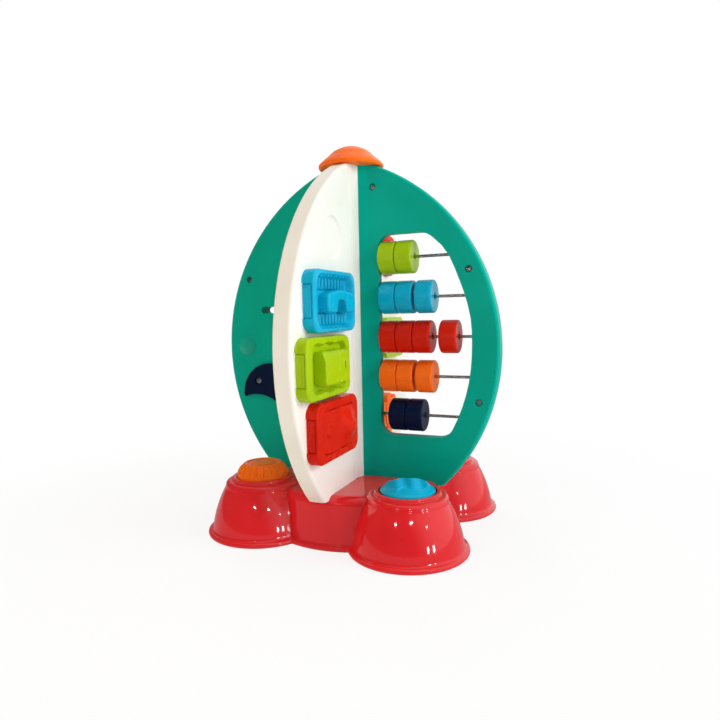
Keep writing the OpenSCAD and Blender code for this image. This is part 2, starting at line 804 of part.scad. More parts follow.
module fluted_button() {
  lean = atan2(button_r - flute_top_r, flute_h);
  button_body(collar_z + flute_h - button_wall) {
    translate([0, 0, collar_z]) cylinder(r1 = button_r, r2 = flute_top_r, h = flute_h);
    union() {
      translate([0, 0, collar_z])
        cylinder(r1 = button_r - button_wall, r2 = flute_top_r - button_wall, h = flute_h - button_wall);
      for (k = [0 : flute_count - 1]) rotate(360 * k / flute_count)
        translate([button_r + 0.7, 0, collar_z]) rotate([0, -lean, 0]) cylinder(r = 1.4, h = 2 * flute_h);
      translate([0, 0, collar_z + flute_h - 0.8]) difference() {
        cylinder(r = flute_top_r - 5, h = 2);
        translate([0, 0, -1]) cylinder(r = flute_top_r - 7.5, h = 4);
      }
    }
  }
}
module return_spring() {
  color(steel) translate([0, 0, post_z]) difference() {
    cylinder(r = spring_r, h = seat_z - post_z - slip);
    translate([0, 0, -1]) cylinder(r = spring_r - spring_wire, h = seat_z);
  }
}
module button_switches() {
  color("#2b2b2d") at_feet() translate([0, 0, post_z]) {
    translate([-switch_w / 2, -switch_w / 2, 0]) cube([switch_w, switch_w, switch_h - 1.5]);
    cylinder(r = 1.7, h = switch_h);
  }
}
module at_foot(i) { translate([foot_dirs[i][0] * foot_x, foot_dirs[i][1] * foot_y, 0]) children(); }

// Front plates, drawn on the face of a fin with the outward normal along +X
module on_plate(i) { translate([half_t, -plate_u(i), plate_z(i)]) children(); }
module plate_body() {
  difference() {
    union() {
      slab(plate_w, plate_h, plate_round, 0, plate_t - plate_edge);
      slab(plate_w - 2 * plate_edge, plate_h - 2 * plate_edge, plate_round - plate_edge, 0, plate_t);
      for (side = [-1, 1]) {
        translate([(plate_t - plate_edge - 1) / 2, side * plate_w / 2, 0])
          cube([plate_t - plate_edge - 1, clip_t, tab_h], center = true);
        translate([(plate_wall - tongue_len) / 2, side * (plate_w / 2 - plate_wall / 2), 0])
          cube([plate_wall + tongue_len, tongue_t, tab_h - 4], center = true);
      }
    }
    slab(recess_w, recess_h, plate_round, floor_x, plate_t + 1);
    slab(plate_w - 2 * plate_wall, plate_h - 2 * plate_wall, plate_round - plate_wall, -1, floor_x - plate_wall);
    children();
  }
}
module blue_plate() {
  color(blue) on_plate(0) plate_body() along_x() cylinder(r = knob_stem_r + run_fit, h = plate_t);
}
module lime_plate() {
  color(lime) on_plate(1) plate_body()
    cube([4 * plate_t, slide_neck_w + block_travel + 2 * slip, slide_neck_h + 2 * slip], center = true);
}
module red_plate() {
  color(red) on_plate(2) plate_body() rocker_pin_rod(hold_fit);
}
module turn_handle() {
  web = 1.5;
  low = floor_x + slip;
  bow_r = (pow(handle_w / 2, 2) + pow(handle_arch, 2)) / (2 * handle_arch);
  color(blue) on_plate(0) {
    difference() {
      intersection() {
        slab(handle_w, handle_d, handle_round, low, plate_t + handle_h);
        translate([low - 1, 0, handle_d / 2 - bow_r]) along_x() cylinder(r = bow_r, h = plate_t + handle_h);
      }
      translate([low + web, 0, 0]) along_x() linear_extrude(plate_t + handle_h) {
        translate([0, notch_d - notch_w / 2 - handle_d / 2]) circle(notch_w / 2);
        translate([-notch_w / 2, -2 * handle_d]) square([notch_w, 1.5 * handle_d + notch_d - notch_w / 2]);
      }
    }
    translate([floor_x - plate_wall - slip, 0, 0]) along_x()
      cylinder(r = knob_stem_r, h = plate_wall + 2 * slip + web / 2);
    translate([1, 0, 0]) along_x() cylinder(r = knob_stem_r + 3, h = floor_x - plate_wall - slip - 1);
  }
}
module slide_block() {
  color(lime) on_plate(1) translate([0, block_rest, 0]) {
    slab(block_w, block_h, 3, floor_x + slip, plate_t + handle_h);
    translate([floor_x - plate_wall / 2, 0, 0])
      cube([plate_wall + 4 * slip, slide_neck_w, slide_neck_h], center = true);
    translate([(floor_x - plate_wall - slip + 1) / 2, 0, 0])
      cube([floor_x - plate_wall - slip - 1, slide_neck_w + slide_plate_w, slide_neck_h + slide_plate_w],
        center = true);
  }
}
module rocker_pin_rod(grow = 0) {
  translate([rocker_pin_x, 0, -rocker_pin_len / 2 - grow])
    cylinder(r = rocker_pin_d / 2 + grow, h = rocker_pin_len + 2 * grow);
}
module rocker_pin() { color(steel) on_plate(2) rocker_pin_rod(); }
module rocker() {
  half = rocker_w / 2;
  low = floor_x + rocker_lift;
  color(red) on_plate(2) translate([rocker_pin_x, 0, 0]) rotate(-rocker_set) translate([-rocker_pin_x, 0, 0])
  difference() {
    intersection() {
      slab(rocker_w, rocker_h, plate_round - 3, 0, 2 * plate_t);
      union() {
        translate([0, 0, -rocker_h / 2]) linear_extrude(rocker_h) {
          polygon([
            [rocker_pin_x, -3], [low, -half], [low + rocker_end, -half], [low + rocker_ridge, -1.5],
            [low + rocker_ridge, 1.5], [low + rocker_end, half], [low, half], [rocker_pin_x, 3]
          ]);
          translate([rocker_pin_x, 0]) circle(rocker_pin_d / 2 + 0.5);
        }
        for (side = [-1, 1]) translate([low, side * half * 0.62, 0]) along_x()
          cylinder(r = 9, h = rocker_ridge);
      }
    }
    translate([rocker_pin_x, 0, -rocker_h]) cylinder(r = rocker_pin_d / 2 + run_fit, h = 2 * rocker_h);
  }
}

// Left fin's movers
module crescent() {
  color(navy) translate([-crescent_x, -half_t - slip, crescent_z]) along_y() difference() {
    linear_extrude(crescent_t) difference() {
      translate([crescent_shift, -crescent_drop]) circle(crescent_r);
      translate([-bite_shift, -bite_drop]) circle(bite_r);
      circle(pivot_r + run_fit);
    }
    translate([0, 0, crescent_t - pivot_sink]) cylinder(r = pivot_head_r + slip, h = crescent_t);
  }
}
module track_slider() {
  knob_t = 8;
  color(lime) translate([-slider_x, 0, slot_z]) along_y() {
    translate([0, 0, -half_t - slip - eps]) cylinder(r = slot_w / 2 - slip, h = fin_t + 2 * slip + 2 * eps);
    for (side = [0, 1]) mirror([0, 0, side]) translate([0, 0, half_t + slip]) {
      cylinder(r = slider_r, h = knob_t - 2);
      cylinder(r1 = slider_r, r2 = slider_r - 2, h = knob_t);
    }
  }
}

// Back fin's movers
module on_back_face() { translate([half_t, 0, 0]) children(); }
module turner_bore() {
  translate([-1, 0, 0]) along_x() cylinder(r = pivot_r + run_fit, h = 2 * turner_t);
  translate([turner_t - pivot_sink, 0, 0]) along_x() cylinder(r = pivot_head_r + slip, h = turner_t);
}
module spinner_disc() {
  spokes = 6;
  color(red) on_back_face() translate([slip - disc_sink, disc_u, disc_z]) difference() {
    union() {
      along_x() cylinder(r = disc_r - slip - 0.2, h = turner_t - 1.5);
      along_x() cylinder(r1 = disc_r - slip - 0.2, r2 = disc_r - 2, h = turner_t);
    }
    turner_bore();
    for (k = [0 : spokes - 1]) rotate([360 * k / spokes, 0, 0])
      translate([turner_t - 2, disc_r * 0.62, 0]) along_x() cylinder(r = disc_r * 0.17, h = turner_t);
  }
}
module lobed_dial() {
  lobe_r = dial_r * 0.3;
  color(orange) on_back_face() translate([slip, dial_u, dial_z]) difference() {
    union() {
      along_x() cylinder(r = dial_r - lobe_r, h = turner_t);
      for (k = [0 : dial_lobes - 1]) rotate([360 * k / dial_lobes, 0, 0])
        translate([0, dial_r - lobe_r, 0]) along_x() cylinder(r = lobe_r, h = turner_t - 1);
    }
    turner_bore();
  }
}
module back_slider() {
  color(lime) on_back_face() translate([slip, slide_u, slide_z]) {
    slab(slide_w, slide_h, 8, 0, turner_t);
    slab(slide_w - 14, slide_h - 14, 5, 0, turner_t + 2);
    translate([-fin_wall / 2 - slip, 0, 0])
      cube([fin_wall + 4 * slip, slide_neck_w, slide_neck_h], center = true);
    translate([-fin_wall - 2 * slip - 1, 0, 0])
      cube([2, slide_neck_w + slide_plate_w, slide_neck_h + slide_plate_w], center = true);
  }
}
module pivot_screws() {
  color(steel) {
    translate([-crescent_x, -half_t - slip - crescent_t + pivot_sink - pivot_head_h - run_fit, crescent_z])
      along_y() screw(pivot_head_r, pivot_head_h, pivot_r, crescent_t + half_t - 2);
    for (p = [[disc_u, disc_z, slip - disc_sink], [dial_u, dial_z, slip]])
      translate([half_t + p[2] + turner_t - pivot_sink + pivot_head_h + run_fit, p[0], p[1]]) along_x()
        screw(pivot_head_r, pivot_head_h, pivot_r, turner_t + half_t - 3);
  }
}

module nose_cap() {
  color(orange) translate([0, 0, fin_top_z]) {
    rotate_extrude($fn = 96) polygon(concat(
      [[0, 0]],
      arc_points([brim_r - brim_t / 2, brim_t / 2], brim_t / 2, -90, 90, 8),
      [[crown_r + 4, brim_t + 2], [crown_r + 0.7, cap_h - crown_edge_r - 0.6]],
      arc_points([crown_r - crown_edge_r, cap_h - crown_edge_r], crown_edge_r, 0, 84, 9),
      [[0, cap_h]]
    ));
    translate([0, 0, -peg_len]) cylinder(r = peg_d / 2, h = peg_len + 1);
  }
}

base_shell();
base_plate();
base_screws();
fin_foot_screws();
battery_cover();
batteries();
circuit_board();
speaker();
button_switches();
color(blue) at_foot(0) domed_button();  // button_front
color(orange) at_foot(1) fluted_button();  // button_left
color(lime) at_foot(2) domed_button();  // button_right
color(navy) at_foot(3) fluted_button();  // button_back
at_foot(0) return_spring();  // spring_front
at_foot(1) return_spring();  // spring_left
at_foot(2) return_spring();  // spring_right
at_foot(3) return_spring();  // spring_back
right_fin_front();
right_fin_back();
left_fin_front();
left_fin_back();
front_fin_right();
front_fin_left();
back_fin_right();
back_fin_left();
fin_screws();
color(steel) rod(0);  // rod_lime
color(steel) rod(1);  // rod_blue
color(steel) rod(2);  // rod_red
color(steel) rod(3);  // rod_orange
color(steel) rod(4);  // rod_navy
bead(0, 0);  // bead_lime_1
bead(0, 1);  // bead_lime_2
bead(1, 0);  // bead_blue_1
bead(1, 1);  // bead_blue_2
bead(1, 2);  // bead_blue_3
bead(2, 0);  // bead_red_1
bead(2, 1);  // bead_red_2
bead(2, 2);  // bead_red_3
bead(2, 3);  // bead_red_4
bead(3, 0);  // bead_orange_1
bead(3, 1);  // bead_orange_2
bead(3, 2);  // bead_orange_3
bead(4, 0);  // bead_navy_1
bead(4, 1);  // bead_navy_2
blue_plate();
lime_plate();
red_plate();
turn_handle();
slide_block();
rocker();
rocker_pin();
crescent();
track_slider();
pivot_screws();
spinner_disc();
back_slider();
lobed_dial();
nose_cap();
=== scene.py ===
"""Dress of the busy board: four upright fins in a cross on a base of bell feet, under a cap.

Lengths in the classes are millimetres, as in the part's source, and meshes are in metres.
The axis of the cross is Z and the floor is z = 0. The front fin points along -Y and the
abacus fin along +X.
"""

from __future__ import annotations

import json
import logging
import math
from collections.abc import Callable
from dataclasses import dataclass, field
from enum import Enum

import bmesh
import bpy
import numpy as np
from mathutils import Matrix, Vector

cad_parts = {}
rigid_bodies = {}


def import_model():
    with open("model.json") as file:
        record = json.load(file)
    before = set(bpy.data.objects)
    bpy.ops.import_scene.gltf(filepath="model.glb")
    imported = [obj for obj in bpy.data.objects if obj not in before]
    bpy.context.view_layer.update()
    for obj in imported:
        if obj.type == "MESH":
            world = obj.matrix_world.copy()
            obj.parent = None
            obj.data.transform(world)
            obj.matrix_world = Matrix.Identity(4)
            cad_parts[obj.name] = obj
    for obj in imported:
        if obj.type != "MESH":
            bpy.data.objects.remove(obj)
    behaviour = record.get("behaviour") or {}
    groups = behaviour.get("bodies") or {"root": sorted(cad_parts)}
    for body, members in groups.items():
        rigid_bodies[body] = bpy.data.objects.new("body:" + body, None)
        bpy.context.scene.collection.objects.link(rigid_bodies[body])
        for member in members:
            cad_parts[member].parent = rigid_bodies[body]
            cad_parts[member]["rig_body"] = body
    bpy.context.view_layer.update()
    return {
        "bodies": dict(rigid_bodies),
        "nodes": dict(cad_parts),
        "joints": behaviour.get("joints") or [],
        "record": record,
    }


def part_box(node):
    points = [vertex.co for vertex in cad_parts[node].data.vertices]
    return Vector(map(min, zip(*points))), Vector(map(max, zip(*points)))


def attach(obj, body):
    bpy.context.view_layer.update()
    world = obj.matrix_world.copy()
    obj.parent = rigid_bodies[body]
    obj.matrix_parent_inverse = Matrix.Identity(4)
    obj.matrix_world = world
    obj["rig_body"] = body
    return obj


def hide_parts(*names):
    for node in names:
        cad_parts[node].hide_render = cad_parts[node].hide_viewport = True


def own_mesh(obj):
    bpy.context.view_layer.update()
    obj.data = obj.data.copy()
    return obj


LOG = logging.getLogger("busy_board")
MM = 0.001
PER_METRE = 1000
QUARTERS = ((1, -1), (-1, -1), (1, 1), (-1, 1))
# Sockets of a Mix node that mixes colours.
MIX_SHARE, MIX_FIRST, MIX_SECOND, MIX_COLOUR = 0, 6, 7, 2


class Slot(Enum):
    """Finishes, each named by the record's slot that it fills, and a word where two share one."""

    TEAL = "teal_gloss"
    WHITE = "white_gloss"
    RED = "red_gloss"
    BASE = "red_gloss polished"
    DOME = "teal_gloss polished"
    BLUE = "blue_gloss"
    LIME = "lime_gloss"
    ORANGE = "orange_gloss"
    AMBER = "orange_clear"
    NAVY = "navy_gloss"
    STEEL = "steel"
    GREY = "grey_matte"
    CELL = "cell"
    BOARD = "board_green"
    BLACK = "black_matte"

    @property
    def record(self) -> str:
        """Name of the slot in the record."""
        return self.value.split()[0]


class Axis(Enum):
    """Direction that a turned piece's own axis points to, as rows of a turning matrix."""

    UP = ((1, 0, 0), (0, 1, 0), (0, 0, 1))
    RIGHT = ((0, 0, 1), (1, 0, 0), (0, 1, 0))
    FRONT = ((1, 0, 0), (0, 0, -1), (0, 1, 0))
    LEFT = ((0, 0, -1), (1, 0, 0), (0, -1, 0))


class Ends(Enum):
    """How the first and last row of a surface are closed."""

    CAPS = "flat faces"
    POLES = "points on the axis"
    LOOP = "joined to each other"


# Finishes


def linear(colour: str) -> tuple[float, float, float, float]:
    """Turn an sRGB hex colour into linear light.

    Args:
        colour: Seven characters, such as "#00967f".

    Returns:
        Red, green, blue and an alpha of 1.
    """
    srgb = [int(colour[i : i + 2], 16) / 255 for i in (1, 3, 5)]
    red, green, blue = (c / 12.92 if c <= 0.04045 else ((c + 0.055) / 1.055) ** 2.4 for c in srgb)
    return red, green, blue, 1.0


def add_node(
    tree: bpy.types.NodeTree,
    kind: str,
    inputs: dict[str | int, object] | None = None,
    **settings: object,
) -> bpy.types.Node:
    """Add a node with its settings and its links.

    Args:
        tree: Node tree that the node goes into.
        kind: Blender's name of the node type, without its first word ShaderNode.
        inputs: Socket name or number, and a value for it or an output to link to it.
        settings: Attributes of the node, set first because they may decide its sockets.

    Returns:
        The new node.
    """
    node = tree.nodes.new(f"ShaderNode{kind}")
    for key, value in settings.items():
        setattr(node, key, value)
    for key, value in (inputs or {}).items():
        if isinstance(value, bpy.types.NodeSocket):
            tree.links.new(value, node.inputs[key])
        else:
            node.inputs[key].default_value = value
    return node


def cleared(owner: bpy.types.Material | bpy.types.World) -> bpy.types.NodeTree:
    """Give a material or a world an empty node tree.

    Args:
        owner: The material or the world.

    Returns:
        Its node tree.
    """
    owner.use_nodes = True
    owner.node_tree.nodes.clear()
    return owner.node_tree


class Finish:
    """A material whose patterns lie on Object coordinates."""

    name: str

    def shader(self, tree: bpy.types.NodeTree, place: bpy.types.NodeSocket) -> bpy.types.Node:
        """Add the finish's own nodes.

        Args:
            tree: The material's node tree.
            place: Object coordinates.

        Returns:
            The shader.
        """
        raise NotImplementedError

    def material(self) -> bpy.types.Material:
        """Make the material.

        Returns:
            A node material with the finish's shader.
        """
        made = bpy.data.materials.new(self.name)
        tree = cleared(made)
        place = add_node(tree, "TexCoord").outputs["Object"]
        add_node(tree, "OutputMaterial", {"Surface": self.shader(tree, place).outputs["BSDF"]})
        return made


@dataclass(frozen=True)
class MouldedPlastic(Finish):
    """Injection-moulded ABS.

    A polished mould leaves a clear gloss with a faint long ripple, the melt's flow leaves slow
    changes of tone, and hands leave patches that are a little less shiny.

    Attributes:
        name: Name of the material.
        colour: Colour of the plastic.
        shade: Colour where the flow marks are deepest.
        roughness: Mean roughness of the skin.
        coat: Weight of the clear gloss over the pigment.
        specular: Level of the pigmented skin's own reflection.
        ripple_mm: Length of the skin's ripple.
        ripple_height: Height of the ripple in millimetres.
        flow_mm: Size of the flow marks.
        glow: Share of light that is scattered under the skin.
        glow_mm: How far that light goes.
        touch_mm: Size of the handling marks, finer in life and coarser here so that they show.
    """

    name: str
    colour: str
    shade: str
    roughness: float = 0.24
    coat: float = 0.3
    specular: float = 0.25
    ripple_mm: float = 7.0
    ripple_height: float = 0.008
    flow_mm: float = 70.0
    glow: float = 0.0
    glow_mm: float = 3.0
    touch_mm: float = 16.0

    def shader(self, tree: bpy.types.NodeTree, place: bpy.types.NodeSocket) -> bpy.types.Node:
        """Put flow in the colour, handling in the roughness and ripple in the bump.

        Args:
            tree: The material's node tree.
            place: Object coordinates.

        Returns:
            The shader.
        """
        flow = add_node(tree, "TexNoise", {
            "Vector": place, "Scale": PER_METRE / self.flow_mm, "Detail": 3.0, "Distortion": 0.6,
        })
        depth = add_node(tree, "MapRange", {
            "Value": flow.outputs["Fac"], "From Min": 0.36, "From Max": 0.68,
        })
        tone = add_node(tree, "Mix", {
            MIX_SHARE: depth.outputs["Result"], MIX_FIRST: linear(self.colour),
            MIX_SECOND: linear(self.shade),
        }, data_type="RGBA")
        touch = add_node(tree, "TexNoise", {
            "Vector": place, "Scale": PER_METRE / self.touch_mm, "Detail": 5.0, "Roughness": 0.62,
        })
        gloss = add_node(tree, "MapRange", {
            "Value": touch.outputs["Fac"], "From Min": 0.35, "From Max": 0.7,
            "To Min": self.roughness * 0.92, "To Max": self.roughness * 1.12,
        })
        ripple = add_node(tree, "TexNoise", {
            "Vector": place, "Scale": PER_METRE / self.ripple_mm, "Detail": 2.0,
        })
        skin = add_node(tree, "Bump", {
            "Height": ripple.outputs["Fac"], "Strength": 1.0, "Distance": self.ripple_height * MM,
        })
        return add_node(tree, "BsdfPrincipled", {
            "Base Color": tone.outputs[MIX_COLOUR], "Roughness": gloss.outputs["Result"],
            "IOR": 1.53, "Specular IOR Level": self.specular, "Normal": skin.outputs["Normal"],
            "Coat Weight": self.coat, "Coat Roughness": 0.03, "Subsurface Weight": self.glow,
            "Subsurface Radius": (1.0, 0.45, 0.12), "Subsurface Scale": self.glow_mm * MM,
        })


@dataclass(frozen=True)
class DrawnSteel(Finish):
    """Bright steel wire, drawn through a die or headed and plated.

    The die leaves fine lines along the wire, which stretch a highlight. They are about 0.1 mm
    apart in life, and are drawn coarser so that they show.

    Attributes:
        name: Name of the material.
        colour: Colour of the metal.
        shade: Colour in the lines.
        roughness: Mean roughness.
        line_mm: Spacing of the lines along Y and Z.
        run_mm: Length of the lines along X.
    """

    name: str
    colour: str = "#c9c6c0"
    shade: str = "#94918d"
    roughness: float = 0.26
    line_mm: float = 0.5
    run_mm: float = 30.0

    def shader(self, tree: bpy.types.NodeTree, place: bpy.types.NodeSocket) -> bpy.types.Node:
        """Stretch one noise along X and let it set the tone, the roughness and the bump.

        Args:
            tree: The material's node tree.
            place: Object coordinates.

        Returns:
            The shader.
        """
        across = PER_METRE / self.line_mm
        drawn = add_node(tree, "Mapping", {
            "Vector": place, "Scale": (PER_METRE / self.run_mm, across, across),
        })
        lines = add_node(tree, "TexNoise", {
            "Vector": drawn.outputs["Vector"], "Scale": 1.0, "Detail": 3.0,
        }).outputs["Fac"]
        tone = add_node(tree, "Mix", {
            MIX_SHARE: lines, MIX_FIRST: linear(self.colour), MIX_SECOND: linear(self.shade),
        }, data_type="RGBA")
        gloss = add_node(tree, "MapRange", {
            "Value": lines, "To Min": self.roughness * 0.7, "To Max": self.roughness * 1.4,
        })
        skin = add_node(tree, "Bump", {"Height": lines, "Strength": 0.5, "Distance": 0.01 * MM})
        return add_node(tree, "BsdfPrincipled", {
            "Base Color": tone.outputs[MIX_COLOUR], "Metallic": 1.0,
            "Roughness": gloss.outputs["Result"], "Normal": skin.outputs["Normal"],
        })


@dataclass(frozen=True)
class GlassBoard(Finish):
    """Glass-fibre circuit board under solder resist: the weave shows through as a fine check.

    Attributes:
        name: Name of the material.
        resist: Colour of the lacquer.
        weave: Colour over the threads' crossings.
        thread_mm: Spacing of the threads.
    """

    name: str
    resist: str = "#1f6b3a"
    weave: str = "#2c7d48"
    thread_mm: float = 0.8

    def shader(self, tree: bpy.types.NodeTree, place: bpy.types.NodeSocket) -> bpy.types.Node:
        """Lay a check of threads in the colour and the bump.

        Args:
            tree: The material's node tree.
            place: Object coordinates.

        Returns:
            The shader.
        """
        check = add_node(tree, "TexChecker", {
            "Vector": place, "Scale": PER_METRE / self.thread_mm, "Color1": linear(self.resist),
            "Color2": linear(self.weave),
        })
        skin = add_node(tree, "Bump", {
            "Height": check.outputs["Fac"], "Strength": 0.3, "Distance": 0.02 * MM,
        })
        return add_node(tree, "BsdfPrincipled", {
            "Base Color": check.outputs["Color"], "Roughness": 0.35,
            "Normal": skin.outputs["Normal"],
        })


class Finishes:
    """The board's materials, one for each slot."""

    def __init__(self) -> None:
        """Make every material once."""
        plastic = MouldedPlastic
        finishes: dict[Slot, Finish] = {
            Slot.TEAL: plastic("moulded_abs_teal", "#00a994", "#00a18c", 0.36, 0.0, 0.06),
            Slot.WHITE: plastic("moulded_abs_white", "#f3f0e8", "#eeeadf", 0.36, 0.0, 0.15),
            Slot.RED: plastic("moulded_abs_red", "#d6220a", "#cb1b06", 0.28, 0.0, 0.12),
            Slot.DOME: plastic("polished_abs_teal", "#00a994", "#00a18c", 0.2, 0.12, 0.3),
            Slot.BASE: plastic(
                "polished_abs_red", "#dd2228", "#d41d23", 0.07, 0.2, 0.45, 11.0, 0.004
            ),
            Slot.BLUE: plastic("moulded_abs_blue", "#04aed2", "#02a4c8", 0.26, 0.08, 0.14),
            Slot.LIME: plastic("moulded_abs_lime", "#a6c70b", "#9cbc06", 0.26, 0.08, 0.14),
            Slot.ORANGE: plastic("moulded_abs_orange", "#ff7216", "#f86a10", 0.28, 0.08, 0.14),
            Slot.AMBER: plastic(
                "clear_tinted_abs_amber", "#f0700c", "#e66608", 0.2, 0.1, 0.2,
                glow=0.36, glow_mm=4.0,
            ),
            Slot.NAVY: plastic("moulded_abs_navy", "#07183a", "#051230", 0.3, 0.0, 0.08),
            Slot.STEEL: DrawnSteel("drawn_steel"),
            Slot.GREY: plastic("etched_abs_grey", "#c9c9c4", "#bfbfb9", 0.55, 0.0, 0.4, 1.2, 0.02),
            Slot.CELL: plastic(
                "shrunk_pvc_sleeve", "#3a3f45", "#33383d", 0.35, 0.1, 0.4, 4.0, 0.01
            ),
            Slot.BOARD: GlassBoard("glass_fibre_board"),
            Slot.BLACK: plastic("etched_abs_black", "#2b2b2d", "#232325", 0.5, 0.0, 0.4, 1.2, 0.02),
        }
        self._made = {slot: finish.material() for slot, finish in finishes.items()}

    def __getitem__(self, slot: Slot) -> bpy.types.Material:
        """The material of a slot."""
        return self._made[slot]


# Surfaces


def filleted(corners: np.ndarray, radii: np.ndarray, steps: int = 9) -> np.ndarray:
    """Round the corners of a closed polygon.

    Each corner becomes an arc that touches both of its sides: the arc's centre lies on the
    corner's bisector, at radius / sin(half the corner's angle).

    Args:
        corners: Points of the polygon, n by 2.
        radii: Radius at each corner.
        steps: Points on each arc.

    Returns:
        Points of the rounded outline, n * steps by 2.
    """
    p, r = np.asarray(corners, float), np.asarray(radii, float)
    u, v = np.roll(p, 1, 0) - p, np.roll(p, -1, 0) - p
    u /= np.linalg.norm(u, axis=1, keepdims=True)
    v /= np.linalg.norm(v, axis=1, keepdims=True)
    half = np.arccos(np.clip((u * v).sum(1), -1, 1)) / 2
    bisector = (u + v) / np.linalg.norm(u + v, axis=1, keepdims=True)
    centre = p + bisector * (r / np.sin(half))[:, None]
    start = p + u * (r / np.tan(half))[:, None] - centre
    end = p + v * (r / np.tan(half))[:, None] - centre
    first = np.arctan2(start[:, 1], start[:, 0])
    sweep = (np.arctan2(end[:, 1], end[:, 0]) - first + math.pi) % (2 * math.pi) - math.pi
    angle = first[:, None] + sweep[:, None] * np.linspace(0, 1, steps)
    arcs = centre[:, None] + r[:, None, None] * np.stack([np.cos(angle), np.sin(angle)], -1)
    return arcs.reshape(-1, 2)


def arc(
    centre: tuple[float, float], radius: float, start: float, end: float, steps: int
) -> np.ndarray:
    """Points on an arc.

    Args:
        centre: Centre of the arc.
        radius: Radius of the arc.
        start: First angle in degrees.
        end: Last angle in degrees.
        steps: Number of points.

    Returns:
        Points, steps by 2.
    """
    angle = np.radians(np.linspace(start, end, steps))
    return np.asarray(centre) + radius * np.stack([np.cos(angle), np.sin(angle)], -1)


def evened(loop: np.ndarray, count: int) -> np.ndarray:
    """Space points evenly along a closed outline, by interpolation on its running length.

    Args:
        loop: Points of the outline, n by 2.
        count: Number of points wanted.

    Returns:
        Points, count by 2.
    """
    closed = np.vstack([loop, loop[:1]])
    run = np.concatenate([[0.0], np.cumsum(np.linalg.norm(np.diff(closed, axis=0), axis=1))])
    at = np.linspace(0, run[-1], count, endpoint=False)
    return np.stack([np.interp(at, run, closed[:, k]) for k in range(2)], -1)


def inset(loop: np.ndarray, amount: float) -> np.ndarray:
    """Move a counter-clockwise outline inwards, each point along the normal of its chord.

    Args:
        loop: Points of the outline, n by 2.
        amount: Distance to move.

    Returns:
        Points, n by 2.
    """
    chord = np.roll(loop, -1, 0) - np.roll(loop, 1, 0)
    chord /= np.linalg.norm(chord, axis=1, keepdims=True)
    return loop + amount * np.stack([-chord[:, 1], chord[:, 0]], -1)


def round_rect(w: float, h: float, r: float, side: int = 60, corner: int = 12) -> np.ndarray:
    """Counter-clockwise outline of a rectangle with rounded corners.

    Sides and corners have the same number of points whatever the size, so that outlines of
    several sizes join up point to point.

    Args:
        w: Width.
        h: Height.
        r: Radius of the corners.
        side: Points on each side.
        corner: Points on each corner.

    Returns:
        Points, 4 * (side + corner) by 2.
    """
    quarter = np.arange(4)
    centre = np.stack([[1, -1, -1, 1], [1, 1, -1, -1]], -1) * (np.array([w, h]) / 2 - r)
    angle = np.radians(90 * quarter[:, None] + np.linspace(0, 90, corner))
    arcs = centre[:, None] + r * np.stack([np.cos(angle), np.sin(angle)], -1)
    share = np.linspace(0, 1, side + 2)[1:-1, None]
    runs = arcs[:, -1, None] * (1 - share) + np.roll(arcs[:, 0], -1, 0)[:, None] * share
    return np.concatenate([arcs, runs], 1).reshape(-1, 2)


def turned(profile: np.ndarray, segments: int) -> np.ndarray:
    """Turn a profile round the Z axis.

    Args:
        profile: Radius and height of each row, n by 2.
        segments: Points round each row.

    Returns:
        Points, n by segments by 3.
    """
    angle = np.linspace(0, 2 * math.pi, segments, endpoint=False)
    r, z = profile[:, :1], profile[:, 1:]
    return np.stack([r * np.cos(angle), r * np.sin(angle), z + 0 * angle], -1)


def stacked(loops: list[np.ndarray], heights: list[float] | np.ndarray) -> np.ndarray:
    """Outlines at given heights as the rows of a surface.

    Args:
        loops: Outlines with the same number of points.
        heights: Height of each outline.

    Returns:
        Points, rows by columns by 3.
    """
    flat = np.stack(loops)
    level = np.broadcast_to(np.asarray(heights, float)[:, None, None], (*flat.shape[:2], 1))
    return np.concatenate([flat, level], -1)


def slab(loop: np.ndarray, low: float, high: float, edge: float, steps: int = 6) -> np.ndarray:
    """Plate with one outline, whose upper edge is a quarter circle.

    Args:
        loop: Counter-clockwise outline.
        low: Height of the lower face.
        high: Height of the upper face.
        edge: Radius of the upper edge.
        steps: Rows on that edge.

    Returns:
        Rows from the lower face's outline to the upper face's.
    """
    turn = np.linspace(0, math.pi / 2, steps)
    loops = [loop] + [inset(loop, a) for a in edge * (1 - np.cos(turn))]
    return stacked(loops, np.concatenate([[low], high - edge + edge * np.sin(turn)]))


def set_at(rows: np.ndarray, axis: Axis, place: tuple[float, float, float]) -> np.ndarray:
    """Turn rows that were made round +Z to an axis, and move them to a place.

    Args:
        rows: Points of a surface.
        axis: Where +Z goes.
        place: Where the origin goes.

    Returns:
        Points of the same shape.
    """
    return rows @ np.asarray(axis.value, float).T + np.asarray(place, float)


